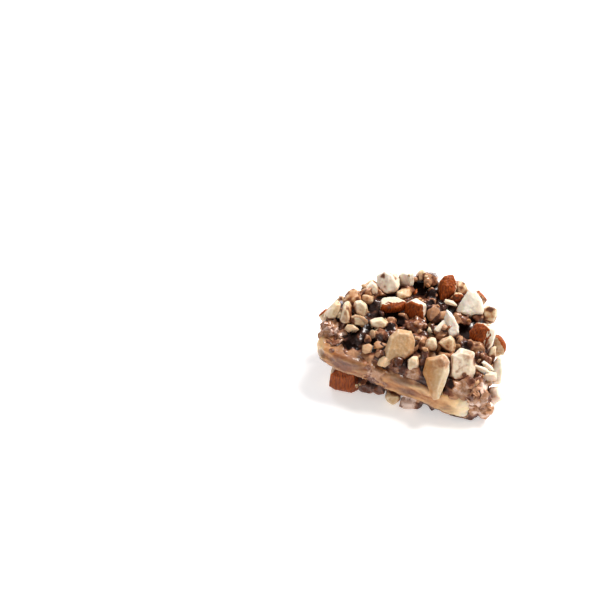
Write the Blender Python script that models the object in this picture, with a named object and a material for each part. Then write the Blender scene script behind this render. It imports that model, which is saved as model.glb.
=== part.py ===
"""Almond butter crunch: one shard broken from a sheet of butter toffee, coated with milk
chocolate and covered with chopped almonds.

The shard lies askew on its own nuts. A skin-on almond props up its left corner, and its
right front corner reaches the table. Its front and left sides are the break, where the bare
toffee shows. Its back and right sides are the sheet's rim, which the chocolate wraps.

+X is the viewer's right, +Y points away from the viewer and +Z is up. The origin is on the
table, under the middle of the piece. Lengths are millimetres until to_metres() at the end.
"""

import math
import random
from dataclasses import dataclass

import bmesh
import bpy
from mathutils import Matrix, Vector, noise

MM = 0.001

# Air between neighbouring pieces
GAP = 0.3

# How the slab lies: the toffee's top above the table, its rise to the back and its fall to the right
SLAB_HEIGHT = 11.4
RISE_TO_BACK = math.radians(2.9)
FALL_TO_RIGHT = math.radians(8.5)

# The toffee: mean thickness, how much thicker it gets for each millimetre to the right, and
# how rough its broken side is
TOFFEE_THICKNESS = 6.4
TOFFEE_TAPER = 0.05
BREAK_ROUGHNESS = 0.55
TOP_ROUGHNESS = 0.25
BASE_ROUGHNESS = 0.2

# The toffee's rings of points: how far out from its middle those on its top and base lie, and
# for those on its side how deep they lie and how far they stand out
TOFFEE_TOP_RINGS = (0.25, 0.55, 0.82)
TOFFEE_SIDE_RINGS = ((0.05, -0.55), (0.16, 0.1), (0.38, 0.25), (0.62, 0.1), (0.84, 0.2), (0.97, -0.4))
TOFFEE_BASE_RINGS = (0.82, 0.5)

# The chocolate: its thickness over and under the toffee, and its waves
COAT_ABOVE = 2.1
COAT_BELOW = 1.2
COAT_WAVE = 0.5
WAVE_LENGTH = 7.0
COAT_BASE_WAVE = 0.3
RIM_WAVE = 0.4

# The chocolate's rings of points: how far out from its middle those on its top lie, how far
# down the rim its courses lie and how far they swell, and for those on its underside how far
# out they lie and what share of its thickness they hang down. Its shoulder is lower than its top
COAT_TOP_RINGS = (0.2, 0.45, 0.7, 0.9)
COAT_SHOULDER = 0.55
COAT_SIDE_RINGS = ((0.25, 0.3), (0.6, 0.2))
COAT_BASE_RINGS = ((1.0, 0.35), (0.9, 1.0), (0.6, 1.0), (0.3, 1.0))

# Hollows between the nuts, where the coat is thin: x, y and radius on the slab
HOLLOWS = [(-18.5, -7.7, 4.0), (-5.4, 3.6, 3.2), (14.2, 0.6, 3.6), (2.4, 17.6, 3.6), (-11.5, 5.4, 2.6)]
HOLLOW_DEPTH = 1.0

# Nuts keep this far from the toffee, so that a film of chocolate lies between
NUT_TO_TOFFEE = 0.7

OUTLINE_POINTS = 36

# Corners of the slab seen from above, from the left corner along the break to the right
# front corner, and back round the rim
TOFFEE_OUTLINE = [
    (-27.5, -6.5), (-26.2, -10.6), (-22.0, -12.9), (-16.0, -15.0), (-5.0, -19.3),
    (5.5, -23.4), (14.5, -26.2), (17.6, -14.0), (20.2, -1.5), (19.6, 9.0),
    (15.0, 16.0), (4.0, 21.0), (-5.0, 19.2), (-11.5, 15.0), (-18.5, 8.0), (-24.0, 1.5),
]
CHOCOLATE_TOP_OUTLINE = [
    (-21.5, -5.4), (-19.8, -9.4), (-15.6, -12.4), (-10.5, -15.0), (-4.0, -17.4),
    (5.5, -21.4), (17.4, -26.0), (20.6, -14.0), (23.0, -1.5), (22.2, 10.0),
    (16.8, 18.0), (4.0, 23.2), (-6.0, 21.4), (-13.5, 16.4), (-20.5, 9.2), (-26.2, 2.2),
]
CHOCOLATE_BASE_OUTLINE = [
    (-26.2, -6.0), (-24.6, -9.6), (-21.0, -11.8), (-15.0, -13.8), (-5.0, -17.9),
    (5.5, -22.0), (17.4, -26.0), (20.6, -14.0), (23.0, -1.5), (22.2, 10.0),
    (16.8, 18.0), (4.0, 23.2), (-6.0, 21.4), (-13.5, 16.4), (-20.5, 9.2), (-25.8, 2.0),
]

# A nut smaller than this needs few faces, and facets within this angle are one face
SMALL = 4.7
FLAT = math.radians(1.0)

# Outlines of chopped nuts seen from the front, in a square of side one, anticlockwise from the
# lower left
FORMS = {
    "block": [
        (-0.5, -0.32), (-0.3, -0.5), (0.38, -0.46), (0.5, -0.1),
        (0.42, 0.42), (-0.12, 0.5), (-0.46, 0.3),
    ],
    "wedge": [
        (-0.5, -0.38), (-0.1, -0.5), (0.5, -0.42), (0.38, 0.05),
        (0.1, 0.5), (-0.08, 0.46), (-0.38, 0.05),
    ],
    "drop": [
        (-0.5, -0.3), (-0.25, -0.5), (0.35, -0.48), (0.5, -0.15),
        (0.32, 0.32), (0.02, 0.5), (-0.3, 0.22),
    ],
    "shard": [
        (-0.4, -0.5), (0.25, -0.44), (0.5, -0.05), (0.42, 0.34),
        (0.18, 0.5), (-0.2, 0.22), (-0.5, -0.2),
    ],
    "tooth": [
        (-0.12, -0.5), (0.06, -0.48), (0.42, 0.08), (0.5, 0.34),
        (0.3, 0.5), (-0.35, 0.42), (-0.5, 0.1),
    ],
    "dart": [
        (-0.5, 0.06), (-0.42, -0.14), (0.3, -0.5), (0.5, -0.4),
        (0.46, 0.18), (0.14, 0.5), (-0.2, 0.34),
    ],
    "flake": [
        (-0.5, -0.36), (-0.41, -0.5), (0.2, -0.4), (0.42, -0.2),
        (0.5, 0.14), (0.42, 0.44), (0.04, 0.5), (-0.22, 0.32),
    ],
    "pebble": [
        (-0.5, -0.22), (0.08, -0.5), (0.5, -0.08), (0.22, 0.48), (-0.34, 0.38),
    ],
    "round": [
        (-0.5, -0.12), (-0.3, -0.44), (0.1, -0.5), (0.44, -0.28),
        (0.5, 0.12), (0.26, 0.45), (-0.14, 0.5), (-0.43, 0.26),
    ],
}

# How far chance shifts a nut's corners, as a share of its size, and where that chance starts
# for the bare almonds and for the coated ones
SHIFT = 0.05
ALMOND_SEED = 21
LUMP_SHAPE_SEED = 5

# Corners of a nut closer than this are one corner
MERGED = 0.12

# A nut in the rim keeps clear of the toffee's edge this far to either side of it
RIM_REACH = 5.0


@dataclass
class Nut:
    """A piece of almond: where its middle is on the slab, its width, depth and height, how it
    is turned in degrees, its outline and whether its front is brown skin.

    roll leans its top to the right, lean tips its top forwards, turn faces its front right.
    seat is the toffee's face that it lies against: "top", "base" or "side". One with the seat
    "edge" is pressed into the toffee's front edge.
    """

    at: tuple
    size: tuple
    roll: float = 0.0
    lean: float = -35.0
    turn: float = 0.0
    form: str = "block"
    skin: bool = False
    seat: str = "top"


# Almonds on the slab, from the left to the right
TOP_NUTS = [
    Nut((-24.0, 2.0, 4.0), (3.4, 4.0, 6.2), roll=22, lean=-30, turn=15, form="shard"),
    Nut((-20.3, 0.8, 4.5), (4.6, 4.5, 6.6), roll=-4, lean=-30, turn=-10, form="wedge"),
    Nut((-16.3, 2.8, 4.5), (3.8, 3.6, 5.2), roll=-25, form="round"),
    Nut((-17.2, -1.9, 4.1), (4.6, 3.0, 2.6), roll=15, lean=-30, turn=10),
    Nut((-11.5, -1.2, 3.2), (6.0, 4.0, 3.4), roll=5, form="dart"),
    Nut((-14.1, 8.8, 3.2), (3.8, 3.4, 2.8), roll=12),
    Nut((-12.6, 13.0, 4.0), (4.0, 4.0, 4.2), form="drop"),
    Nut((-7.9, 16.2, 4.6), (6.6, 6.0, 6.8), roll=5, lean=-30, turn=10),
    Nut((-2.4, 18.4, 4.0), (4.4, 5.0, 6.4), lean=-25, turn=-15),
    Nut((-3.4, 11.6, 4.2), (4.2, 3.4, 2.8), roll=-8, lean=-30),
    Nut((-6.8, 6.3, 4.2), (7.8, 3.8, 3.4), roll=-3, lean=-4, form="block", skin=True),
    Nut((-0.6, 4.4, 4.8), (6.0, 3.2, 6.6), roll=-8, lean=-15, turn=-30, form="block", skin=True),
    Nut((2.3, 21.6, 4.0), (3.2, 3.4, 3.8), form="drop"),
    Nut((9.2, 15.6, 5.0), (6.0, 4.0, 7.4), roll=-10, lean=-25, turn=10, form="flake", skin=True),
    Nut((12.2, 11.8, 4.8), (4.8, 2.2, 3.2), roll=-35, lean=-5, form="dart", skin=True),
    Nut((15.8, 10.0, 5.6), (8.4, 5.5, 9.0), roll=5, turn=10, form="wedge"),
    Nut((9.4, -0.6, 4.8), (4.4, 4.0, 9.0), roll=-22, form="shard"),
    Nut((19.0, -2.4, 4.6), (7.4, 6.5, 9.4), roll=10, lean=-25, turn=-40, form="round", skin=True),
    Nut((21.6, 8.4, 3.6), (4.6, 4.6, 4.8), roll=10),
    Nut((20.9, -8.7, 3.4), (2.0, 2.6, 7.2), roll=8, form="shard"),
    Nut((11.6, -16.4, 4.0), (6.8, 5.0, 9.8), roll=5, lean=-38),
    Nut((4.6, -20.4, 3.4), (7.4, 4.5, 12.4), roll=-13, lean=-42, turn=-18, form="tooth", seat="edge"),
    Nut((3.2, -9.4, 5.3), (3.4, 3.0, 4.6), roll=8, form="drop"),
    Nut((7.8, -8.8, 5.3), (5.4, 3.6, 4.8), roll=30, form="wedge"),
    Nut((-6.0, -11.6, 4.6), (9.6, 4.0, 9.8), lean=-38, turn=5, form="flake"),
    Nut((-1.9, -16.0, 3.2), (3.2, 3.0, 4.0), lean=-30),
    Nut((13.6, 17.2, 3.6), (5.0, 4.2, 4.8), roll=-20, turn=150, form="dart"),
    Nut((18.6, 14.2, 3.4), (4.6, 4.0, 4.4), turn=120, form="block", skin=True),
    Nut((-18.4, 8.0, 3.6), (5.0, 4.4, 4.4), roll=-15, lean=-20, turn=140, form="round"),
]

# Almonds in the chocolate round the rim
SIDE_NUTS = [
    Nut((22.4, -11.6, 0.6), (4.6, 5.0, 8.8), roll=12, lean=-20, form="wedge", seat="side"),
    Nut((22.6, -18.0, -3.6), (4.2, 4.0, 4.2), turn=60, form="block", seat="side"),
    Nut((25.0, 1.8, -2.6), (4.4, 4.0, 5.6), turn=80, form="flake", skin=True, seat="side"),
    Nut((22.6, 13.8, -2.6), (5.0, 4.0, 4.6), turn=130, form="drop", seat="side"),
    Nut((11.0, 22.0, -1.4), (6.4, 4.4, 5.6), roll=15, lean=-10, turn=165, form="block", seat="side"),
    Nut((-1.0, 24.0, -2.8), (5.4, 4.0, 4.6), roll=-20, turn=185, form="wedge", skin=True, seat="side"),
    Nut((-11.6, 19.2, -1.6), (5.6, 4.2, 5.0), roll=10, turn=215, form="round", seat="side"),
    Nut((-19.8, 12.0, -2.2), (4.6, 4.0, 5.6), turn=225, form="shard", seat="side"),
    Nut((-24.4, 7.2, -3.2), (4.4, 3.6, 4.0), turn=240, form="drop", skin=True, seat="side"),
]

# Almonds under the slab. The first three reach the table, and with the front right corner
# they carry the piece
BASE_NUTS = [
    Nut((-18.5, -9.5, -9.9), (9.2, 8.0, 9.6), roll=2, lean=0, turn=-12, form="block", skin=True, seat="base"),
    Nut((-4.0, 16.6, -9.6), (7.6, 6.6, 8.6), lean=0, turn=160, form="block", skin=True, seat="base"),
    Nut((16.0, 11.0, -9.4), (6.4, 5.6, 5.6), lean=0, turn=110, form="drop", seat="base"),
    Nut((-5.6, -17.4, -8.4), (4.8, 4.4, 4.6), lean=0, form="round", seat="base"),
    Nut((-18.6, 3.4, -8.6), (6.4, 5.6, 5.4), lean=0, turn=200, form="dart", seat="base"),
    Nut((4.6, 3.6, -8.0), (6.6, 5.8, 4.2), lean=0, turn=75, form="round", skin=True, seat="base"),
    Nut((-9.4, -4.6, -8.4), (6.0, 5.4, 5.0), lean=0, turn=30, form="wedge", seat="base"),
    Nut((5.0, -13.6, -8.0), (5.2, 4.6, 3.6), lean=0, turn=300, form="block", seat="base"),
    Nut((8.4, 16.0, -8.6), (5.6, 5.0, 4.6), lean=0, turn=20, form="shard", seat="base"),
    Nut((-11.4, 7.6, -8.6), (5.2, 4.8, 5.2), lean=0, turn=250, form="drop", seat="base"),
]

# Nuts that the chocolate covers all over, so that they are lumps of it
COATED_NUTS = [
    Nut((-22.4, 1.4, 2.8), (3.4, 3.2, 3.8), form="round"),
    Nut((-7.5, -2.2, 3.0), (3.4, 3.4, 4.2), form="round"),
    Nut((-1.1, -0.3, 2.8), (4.8, 4.0, 4.0), form="round"),
    Nut((5.6, 20.2, 3.8), (3.8, 4.0, 4.4), form="round"),
    Nut((5.4, 14.4, 3.0), (3.8, 4.0, 4.6), form="drop"),
    Nut((5.6, 4.3, 4.0), (4.8, 4.6, 6.6), roll=-10, form="round"),
    Nut((15.6, 0.8, 4.4), (3.2, 3.0, 4.8), form="round"),
    Nut((0.9, -14.2, 3.6), (3.2, 3.4, 7.0), lean=-38, form="shard"),
    Nut((16.4, -18.6, 1.6), (3.8, 4.0, 4.6), form="drop"),
    Nut((19.2, -23.4, -4.6), (3.8, 4.0, 5.4), form="round"),
    Nut((17.6, -23.2, -0.8), (4.4, 4.2, 3.8), form="block"),
    Nut((17.8, -7.2, 2.6), (3.4, 3.6, 4.4), form="round"),
    Nut((-14.3, -7.9, 2.6), (3.0, 2.8, 2.8), form="round"),
    Nut((-12.4, -15.8, -0.8), (4.8, 2.6, 5.2), lean=0, turn=-20, form="drop"),
    Nut((-24.4, -2.4, 0.9), (5.6, 4.8, 2.6), lean=-5, turn=-20, form="block"),
    Nut((-1.4, -8.2, 3.2), (3.6, 3.4, 4.6), roll=20, form="drop"),
    Nut((-9.0, -6.2, 2.4), (4.4, 3.6, 3.4), roll=-20, form="wedge"),
    Nut((8.6, -12.8, 3.0), (4.2, 3.6, 4.2), roll=-15, form="block"),
    Nut((14.4, -6.0, 3.0), (4.6, 4.0, 4.6), roll=25, form="drop"),
    Nut((12.2, 5.2, 2.8), (4.0, 3.8, 4.2), form="round"),
    Nut((3.0, 9.4, 2.8), (4.4, 4.0, 4.0), roll=30, form="block"),
    Nut((-0.8, -20.4, -7.9), (6.6, 3.4, 2.8), lean=0, form="block"),
    Nut((-13.0, -14.4, -8.2), (5.6, 4.0, 4.2), lean=0, turn=-20, form="drop"),
    Nut((-9.4, -15.4, -7.8), (4.6, 3.8, 3.6), lean=0, turn=-15, form="round"),
]

# Nut pieces smaller than a berry that are set by hand, fused to the chocolate
SMALL_BITS = [
    Nut((-14.6, -11.0, 2.6), (3.0, 2.4, 2.2), form="round"),
    Nut((-10.8, -9.4, 2.6), (4.0, 2.8, 2.6), roll=-20, form="drop"),
    Nut((-18.8, -4.6, 2.8), (3.4, 2.4, 2.4), form="block"),
    Nut((17.2, -16.0, 3.4), (4.0, 1.8, 2.2), roll=45, form="dart"),
    Nut((6.2, -1.8, 4.4), (3.6, 2.4, 2.4), roll=-10, form="dart"),
    Nut((-10.2, 3.2, 2.8), (2.6, 2.2, 2.4), form="round"),
]

# Small things strewn by rule. Lumps are chocolate all over, and crumbs are bare nut. For each
# kind: how many tries, the seed, the range of sizes, how far apart they lie, and how far they
# keep from an almond as a share of their size
LUMP_TRIES, LUMP_SEED, LUMP_SIZES, LUMP_SPACING, LUMP_MARGIN = 260, 11, (3.4, 5.0), 4.5, -0.3
CRUMB_TRIES, CRUMB_SEED, CRUMB_SIZES, CRUMB_SPACING, CRUMB_MARGIN = 110, 7, (2.1, 3.0), 4.2, 0.3
STREWN_ACROSS, STREWN_ALONG = (-26.0, 23.0), (-25.0, 23.0)

# Every so many tries one is for the underside
UNDER_EVERY = 4

# How far strewn things stand out of the coat, as a share of their size
LUMP_STANDS, LUMP_HANGS = 0.15, 0.1

# How deep and how high a strewn lump is for its width
PEBBLE_DEPTH, PEBBLE_HEIGHT = 0.85, 0.95

# Lumps in the wrapped rim: how many, their seed, the share of the outline where they start, how
# much of it they take up, and how far down the rim they lie
RIM_LUMPS, RIM_SEED = 17, 3
RIM_START, RIM_SPAN = 0.4, 0.58
RIM_DEPTHS = (0.1, 0.95)

# The food's own colours
TOFFEE_COLOUR = (0.50, 0.27, 0.11)
CHOCOLATE_COLOUR = (0.12, 0.045, 0.022)
FLESH_COLOUR = (0.78, 0.66, 0.45)
SKIN_COLOUR = (0.32, 0.10, 0.03)


def clear_scene():
    """Starts from an empty scene."""
    for thing in list(bpy.data.objects):
        bpy.data.objects.remove(thing)


def slab_to_table():
    """The slab's own frame, as it lies on the table."""
    tilt = Matrix.Rotation(RISE_TO_BACK, 4, "X") @ Matrix.Rotation(FALL_TO_RIGHT, 4, "Y")
    return Matrix.Translation((0.0, 0.0, SLAB_HEIGHT)) @ tilt


def resampled(outline, count=OUTLINE_POINTS):
    """Points at equal steps along a closed outline."""
    corners = [Vector(p) for p in outline]
    sides = list(zip(corners, corners[1:] + corners[:1]))
    step = sum((b - a).length for a, b in sides) / count
    points = []
    left = 0.0
    for a, b in sides:
        length = (b - a).length
        while left < length and len(points) < count:
            points.append(a.lerp(b, left / length))
            left += step
        left -= length
    return points


def outward(points):
    """The outward direction at each point of a resampled outline that runs anticlockwise."""
    normals = []
    for before, after in zip(points[-1:] + points[:-1], points[1:] + points[:1]):
        along = (after - before).normalized()
        normals.append(Vector((along.y, -along.x)))
    return normals


def inside(outline, x, y):
    """Whether a point seen from above lies inside an outline."""
    crossings = 0
    for (x1, y1), (x2, y2) in zip(outline, outline[1:] + outline[:1]):
        if (y1 > y) != (y2 > y) and x < x1 + (x2 - x1) * (y - y1) / (y2 - y1):
            crossings += 1
    return crossings % 2 == 1


def wave(x, y, length, phase):
    """A smooth seamless unevenness from about -1 to 1."""
    return noise.noise(Vector((x / length, y / length, phase))) * 1.6


def coat_height(x, y):
    """The chocolate's top over the slab."""
    dip = sum(math.exp(-((x - a) ** 2 + (y - b) ** 2) / r ** 2) for a, b, r in HOLLOWS)
    return COAT_ABOVE + COAT_WAVE * wave(x, y, WAVE_LENGTH, 0.3) - HOLLOW_DEPTH * min(dip, 1.0)


def toffee_bottom(x):
    """The toffee's underside, which falls away to the right."""
    return -(TOFFEE_THICKNESS + TOFFEE_TAPER * x)


def loft(rings):
    """A closed body through rings of equal length, each end closed by a fan."""
    body = bmesh.new()
    loops = []
    for ring in rings:
        verts = [body.verts.new(p) for p in ring]
        loops.append([body.edges.new(pair) for pair in zip(verts, verts[1:] + verts[:1])])
    for lower, upper in zip(loops, loops[1:]):
        bmesh.ops.bridge_loops(body, edges=lower + upper)
    for end in (loops[0], loops[-1]):
        cap = bmesh.ops.contextual_create(body, geom=end)["faces"]
        bmesh.ops.poke(body, faces=cap)
    bmesh.ops.triangulate(body, faces=body.faces)
    bmesh.ops.recalc_face_normals(body, faces=body.faces)
    return body


def shrunk(points, share):
    """An outline drawn in towards its middle to a share of its size."""
    middle = sum(points, Vector((0.0, 0.0))) / len(points)
    return [middle.lerp(p, share) for p in points]


def toffee_body():
    """The slab of toffee: a gently uneven top and base, and a rough broken side."""
    edge = resampled(TOFFEE_OUTLINE)
    normals = outward(edge)
    rings = []
    for share in TOFFEE_TOP_RINGS:
        rings.append([
            Vector((p.x, p.y, TOP_ROUGHNESS * wave(p.x, p.y, 6.0, 2.0))) for p in shrunk(edge, share)
        ])
    for depth, stand_out in TOFFEE_SIDE_RINGS:
        ring = []
        for p, n in zip(edge, normals):
            rough = BREAK_ROUGHNESS * wave(p.x + 40.0 * depth, p.y, 4.0, 5.0 + 3.0 * depth)
            q = p + n * (stand_out + rough)
            ring.append(Vector((q.x, q.y, depth * toffee_bottom(p.x))))
        rings.append(ring)
    for share in TOFFEE_BASE_RINGS:
        rings.append([
            Vector((p.x, p.y, toffee_bottom(p.x) + BASE_ROUGHNESS * wave(p.x, p.y, 7.0, 9.0)))
            for p in shrunk(edge, share)
        ])
    return loft(rings)


def chocolate_body():
    """The coat before the toffee is cut out of it: a plate above, a plate below and a wrapped rim."""
    top = resampled(CHOCOLATE_TOP_OUTLINE)
    base = resampled(CHOCOLATE_BASE_OUTLINE)
    rings = []
    for share in COAT_TOP_RINGS:
        rings.append([Vector((p.x, p.y, coat_height(p.x, p.y))) for p in shrunk(top, share)])
    rings.append([Vector((p.x, p.y, COAT_SHOULDER * coat_height(p.x, p.y))) for p in top])
    for fall, swell in COAT_SIDE_RINGS:
        ring = []
        for upper, lower, n in zip(top, base, outward(top)):
            swelling = swell + RIM_WAVE * wave(upper.x, upper.y, 5.0, 4.0 + fall)
            p = upper.lerp(lower, fall) + n * swelling
            ring.append(Vector((p.x, p.y, fall * toffee_bottom(p.x))))
        rings.append(ring)
    for share, drop in COAT_BASE_RINGS:
        ring = []
        for p in shrunk(base, share):
            waves = COAT_BASE_WAVE * wave(p.x, p.y, 6.0, 12.0)
            ring.append(Vector((p.x, p.y, toffee_bottom(p.x) - drop * COAT_BELOW - waves)))
        rings.append(ring)
    return loft(rings)


def hull(points):
    """The closed convex body round some points."""
    body = bmesh.new()
    for p in points:
        body.verts.new(p)
    bmesh.ops.remove_doubles(body, verts=body.verts, dist=MERGED)
    made = bmesh.ops.convex_hull(body, input=body.verts)
    loose = {v for v in made["geom_interior"] + made["geom_unused"] if isinstance(v, bmesh.types.BMVert)}
    bmesh.ops.delete(body, geom=list(loose), context="VERTS")
    bmesh.ops.recalc_face_normals(body, faces=body.faces)
    return body


def nut_body(nut, draw, to_table):
    """A chopped nut: its outline at a few depths, a little uneven, closed into a convex body.

    A front of skin is a dome, and any other front is a flat cleft.
    """
    width, depth, height = nut.size
    if max(nut.size) < SMALL or nut.form == "pebble" or (nut.seat == "base" and not nut.skin):
        courses = ((-0.5, 0.75), (0.3, 1.0))
    elif nut.skin:
        courses = ((-0.5, 0.4), (-0.38, 0.78), (-0.14, 1.0), (0.5, 0.86))
    else:
        courses = ((-0.5, 0.72), (-0.12, 1.0), (0.5, 0.74))
    turn = (
        Matrix.Rotation(math.radians(nut.turn), 4, "Z")
        @ Matrix.Rotation(math.radians(nut.lean), 4, "X")
        @ Matrix.Rotation(math.radians(nut.roll), 4, "Y")
    )
    place = Matrix.Translation(to_table @ Vector(nut.at)) @ turn
    points = []
    for y, share in courses:
        slip_x, slip_z = draw.uniform(-SHIFT, SHIFT), draw.uniform(-SHIFT, SHIFT)
        for x, z in FORMS[nut.form]:
            points.append(place @ Vector((
                (x * share + slip_x) * width,
                (y + draw.uniform(-SHIFT, SHIFT)) * depth,
                (z * share + slip_z) * height,
            )))
    return hull(points)


def middle_of(body):
    """The mean of a body's corners."""
    return sum((v.co for v in body.verts), Vector()) / len(body.verts)


def kept_side(body, point, normal):
    """What is left of a convex body behind a plane, closed again. It stays whole if the plane
    misses it."""
    if max((v.co - point).dot(normal) for v in body.verts) <= 0:
        return body
    bmesh.ops.bisect_plane(
        body, geom=body.verts[:] + body.edges[:] + body.faces[:], dist=1e-5,
        plane_co=point, plane_no=normal, clear_outer=True,
    )
    points = [v.co.copy() for v in body.verts]
    body.free()
    return hull(points)


def kept_apart(a, b):
    """Two convex nuts trimmed to leave a gap, along the plane between them that costs least."""
    line = (middle_of(b) - middle_of(a)).normalized()
    ways = [line] + [f.normal.copy() for f in a.faces] + [-f.normal for f in b.faces]

    def reach(way):
        return max(v.co.dot(way) for v in a.verts), min(v.co.dot(way) for v in b.verts)

    way = min(ways, key=lambda w: reach(w)[0] - reach(w)[1])
    far, near = reach(way)
    if far - near <= -GAP:
        return a, b
    between = way * ((far + near) / 2)
    return kept_side(a, between - way * GAP / 2, way), kept_side(b, between + way * GAP / 2, -way)


def clear_of_toffee(body, nut, to_table):
    """A nut trimmed by the plane of the toffee's face that it is pressed against."""
    turn = to_table.to_3x3()
    if nut.seat == "edge":
        return body
    if nut.seat == "top":
        point, normal = Vector((0.0, 0.0, NUT_TO_TOFFEE)), Vector((0.0, 0.0, -1.0))
    elif nut.seat == "base":
        x = nut.at[0]
        reach = nut.size[0] / 2
        depth = min(toffee_bottom(x - reach), toffee_bottom(x + reach))
        point, normal = Vector((x, 0.0, depth - NUT_TO_TOFFEE)), Vector((0.0, 0.0, 1.0))
    else:
        edge = resampled(TOFFEE_OUTLINE)
        pairs = list(zip(edge, outward(edge)))
        nearest, away = min(pairs, key=lambda pair: (pair[0] - Vector(nut.at[:2])).length)
        normal = -Vector((away.x, away.y, 0.0))
        close = [p for p, _ in pairs if (p - nearest).length < RIM_REACH]
        reach = max(-Vector((p.x, p.y, 0.0)).dot(normal) for p in close)
        point = -normal * (reach + NUT_TO_TOFFEE + BREAK_ROUGHNESS)
    return kept_side(body, to_table @ point, turn @ normal)


def above_table(body):
    """A body cut flat where it would sink into the table."""
    return kept_side(body, Vector((0.0, 0.0, 0.0)), Vector((0.0, 0.0, -1.0)))


def almond_bodies(to_table):
    """Every almond that is a piece of its own, clear of the toffee, the table and each other."""
    draw = random.Random(ALMOND_SEED)
    nuts = TOP_NUTS + SIDE_NUTS + BASE_NUTS
    bodies = []
    for nut in nuts:
        body = nut_body(nut, draw, to_table)
        bodies.append(above_table(clear_of_toffee(body, nut, to_table)))
    for i in range(len(bodies)):
        for j in range(i + 1, len(bodies)):
            bodies[i], bodies[j] = kept_apart(bodies[i], bodies[j])
    return list(zip(nuts, bodies))


def near(x, y, others, spacing):
    """Whether a spot is closer than the spacing to one of the others."""
    return any(math.dist(other.at[:2], (x, y)) < spacing for other in others)


def in_box(x, y, margin, boxes):
    """Whether a spot lies in one of some boxes on the table, or within a margin of it."""
    return any(a - margin < x < c + margin and b - margin < y < d + margin for a, b, c, d in boxes)


def strewn(tries, seed, sizes, spacing, taken, margin):
    """Small things on the top and the underside, by a seeded rule. One that would lie where an
    almond is, or near another, is left out.

    taken is each almond's box seen from above, as (low x, low y, high x, high y) on the table,
    and margin is how far outside a box a thing may not be, as a share of its size.
    """
    draw = random.Random(seed)
    above, below = [], []
    for n in range(tries):
        x, y = draw.uniform(*STREWN_ACROSS), draw.uniform(*STREWN_ALONG)
        size = draw.uniform(*sizes)
        roll, turn = draw.uniform(0.0, 360.0), draw.uniform(0.0, 360.0)
        under = n % UNDER_EVERY == UNDER_EVERY - 1
        outline = CHOCOLATE_BASE_OUTLINE if under else CHOCOLATE_TOP_OUTLINE
        if not inside(shrunk_outline(outline), x, y) or near(x, y, below if under else above, spacing):
            continue
        if not under and in_box(x, y, margin * size, taken):
            continue
        if under:
            z = toffee_bottom(x) - COAT_BELOW - LUMP_HANGS * size
        else:
            z = coat_height(x, y) + LUMP_STANDS * size
        shape = (size, PEBBLE_DEPTH * size, PEBBLE_HEIGHT * size)
        thing = Nut((x, y, z), shape, roll=roll, turn=turn, form="pebble")
        (below if under else above).append(thing)
    return above + below


def rim_lumps():
    """Lumps in the chocolate that wraps the rim, from the front right corner round to the left."""
    draw = random.Random(RIM_SEED)
    edge = resampled(CHOCOLATE_TOP_OUTLINE)
    lumps = []
    for n in range(RIM_LUMPS):
        place = edge[int(len(edge) * (RIM_START + RIM_SPAN * (n + draw.random()) / RIM_LUMPS))]
        size = draw.uniform(*LUMP_SIZES)
        depth = draw.uniform(*RIM_DEPTHS)
        at = (place.x, place.y, depth * toffee_bottom(place.x))
        roll, turn = draw.uniform(0.0, 360.0), draw.uniform(0.0, 360.0)
        lumps.append(Nut(at, (size, PEBBLE_DEPTH * size, size), roll=roll, turn=turn, form="pebble"))
    return lumps


def shrunk_outline(outline, share=0.95):
    """An outline's corners drawn in a little, so that what is strewn keeps off its rim."""
    return [tuple(p) for p in shrunk([Vector(p) for p in outline], share)]


def add_object(name, body):
    """Puts a finished body into the scene as an object."""
    mesh = bpy.data.meshes.new(name)
    body.to_mesh(mesh)
    body.free()
    thing = bpy.data.objects.new(name, mesh)
    bpy.context.scene.collection.objects.link(thing)
    return thing


def grown(body, by):
    """A copy of a body whose corners are moved out until each face has moved by the given
    distance. A needle-sharp corner moves by no more than three times that."""
    copy = body.copy()
    copy.normal_update()
    moves = []
    for v in copy.verts:
        least = min(v.normal.dot(f.normal) for f in v.link_faces)
        moves.append(v.normal * by / max(least, 1 / 3))
    for v, move in zip(copy.verts, moves):
        v.co += move
    return copy


def boolean(thing, bodies, operation):
    """Joins bodies to an object, or cuts them out of it, in one step that is applied."""
    tools = bpy.data.collections.new(operation)
    for n, body in enumerate(bodies):
        tool = add_object(f"tool_{n}", body)
        bpy.context.scene.collection.objects.unlink(tool)
        tools.objects.link(tool)
    bpy.context.scene.collection.children.link(tools)
    change = thing.modifiers.new(operation, "BOOLEAN")
    change.operand_type = "COLLECTION"
    change.collection = tools
    change.operation = operation
    change.solver = "EXACT"
    change.use_self = operation == "UNION"
    seen = thing.evaluated_get(bpy.context.evaluated_depsgraph_get())
    mesh = bpy.data.meshes.new_from_object(seen)
    thing.modifiers.clear()
    thing.data = mesh
    for tool in list(tools.objects):
        bpy.data.objects.remove(tool)
    bpy.data.collections.remove(tools)


def largest_body(thing):
    """Joins facets that lie in one plane, drops loose scraps that a cut has left, and keeps the
    largest closed body."""
    body = bmesh.new()
    body.from_mesh(thing.data)
    bmesh.ops.remove_doubles(body, verts=body.verts, dist=0.0001)
    bmesh.ops.dissolve_limit(body, angle_limit=FLAT, verts=body.verts, edges=body.edges)
    seen = set()
    groups = []
    for start in body.verts:
        if start in seen:
            continue
        group, front = {start}, [start]
        while front:
            for edge in front.pop().link_edges:
                for v in edge.verts:
                    if v not in group:
                        group.add(v)
                        front.append(v)
        seen |= group
        groups.append(group)
    groups.sort(key=len)
    scraps = [v for group in groups[:-1] for v in group]
    bmesh.ops.delete(body, geom=scraps, context="VERTS")
    bmesh.ops.triangulate(body, faces=body.faces)
    body.to_mesh(thing.data)
    body.free()


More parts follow.
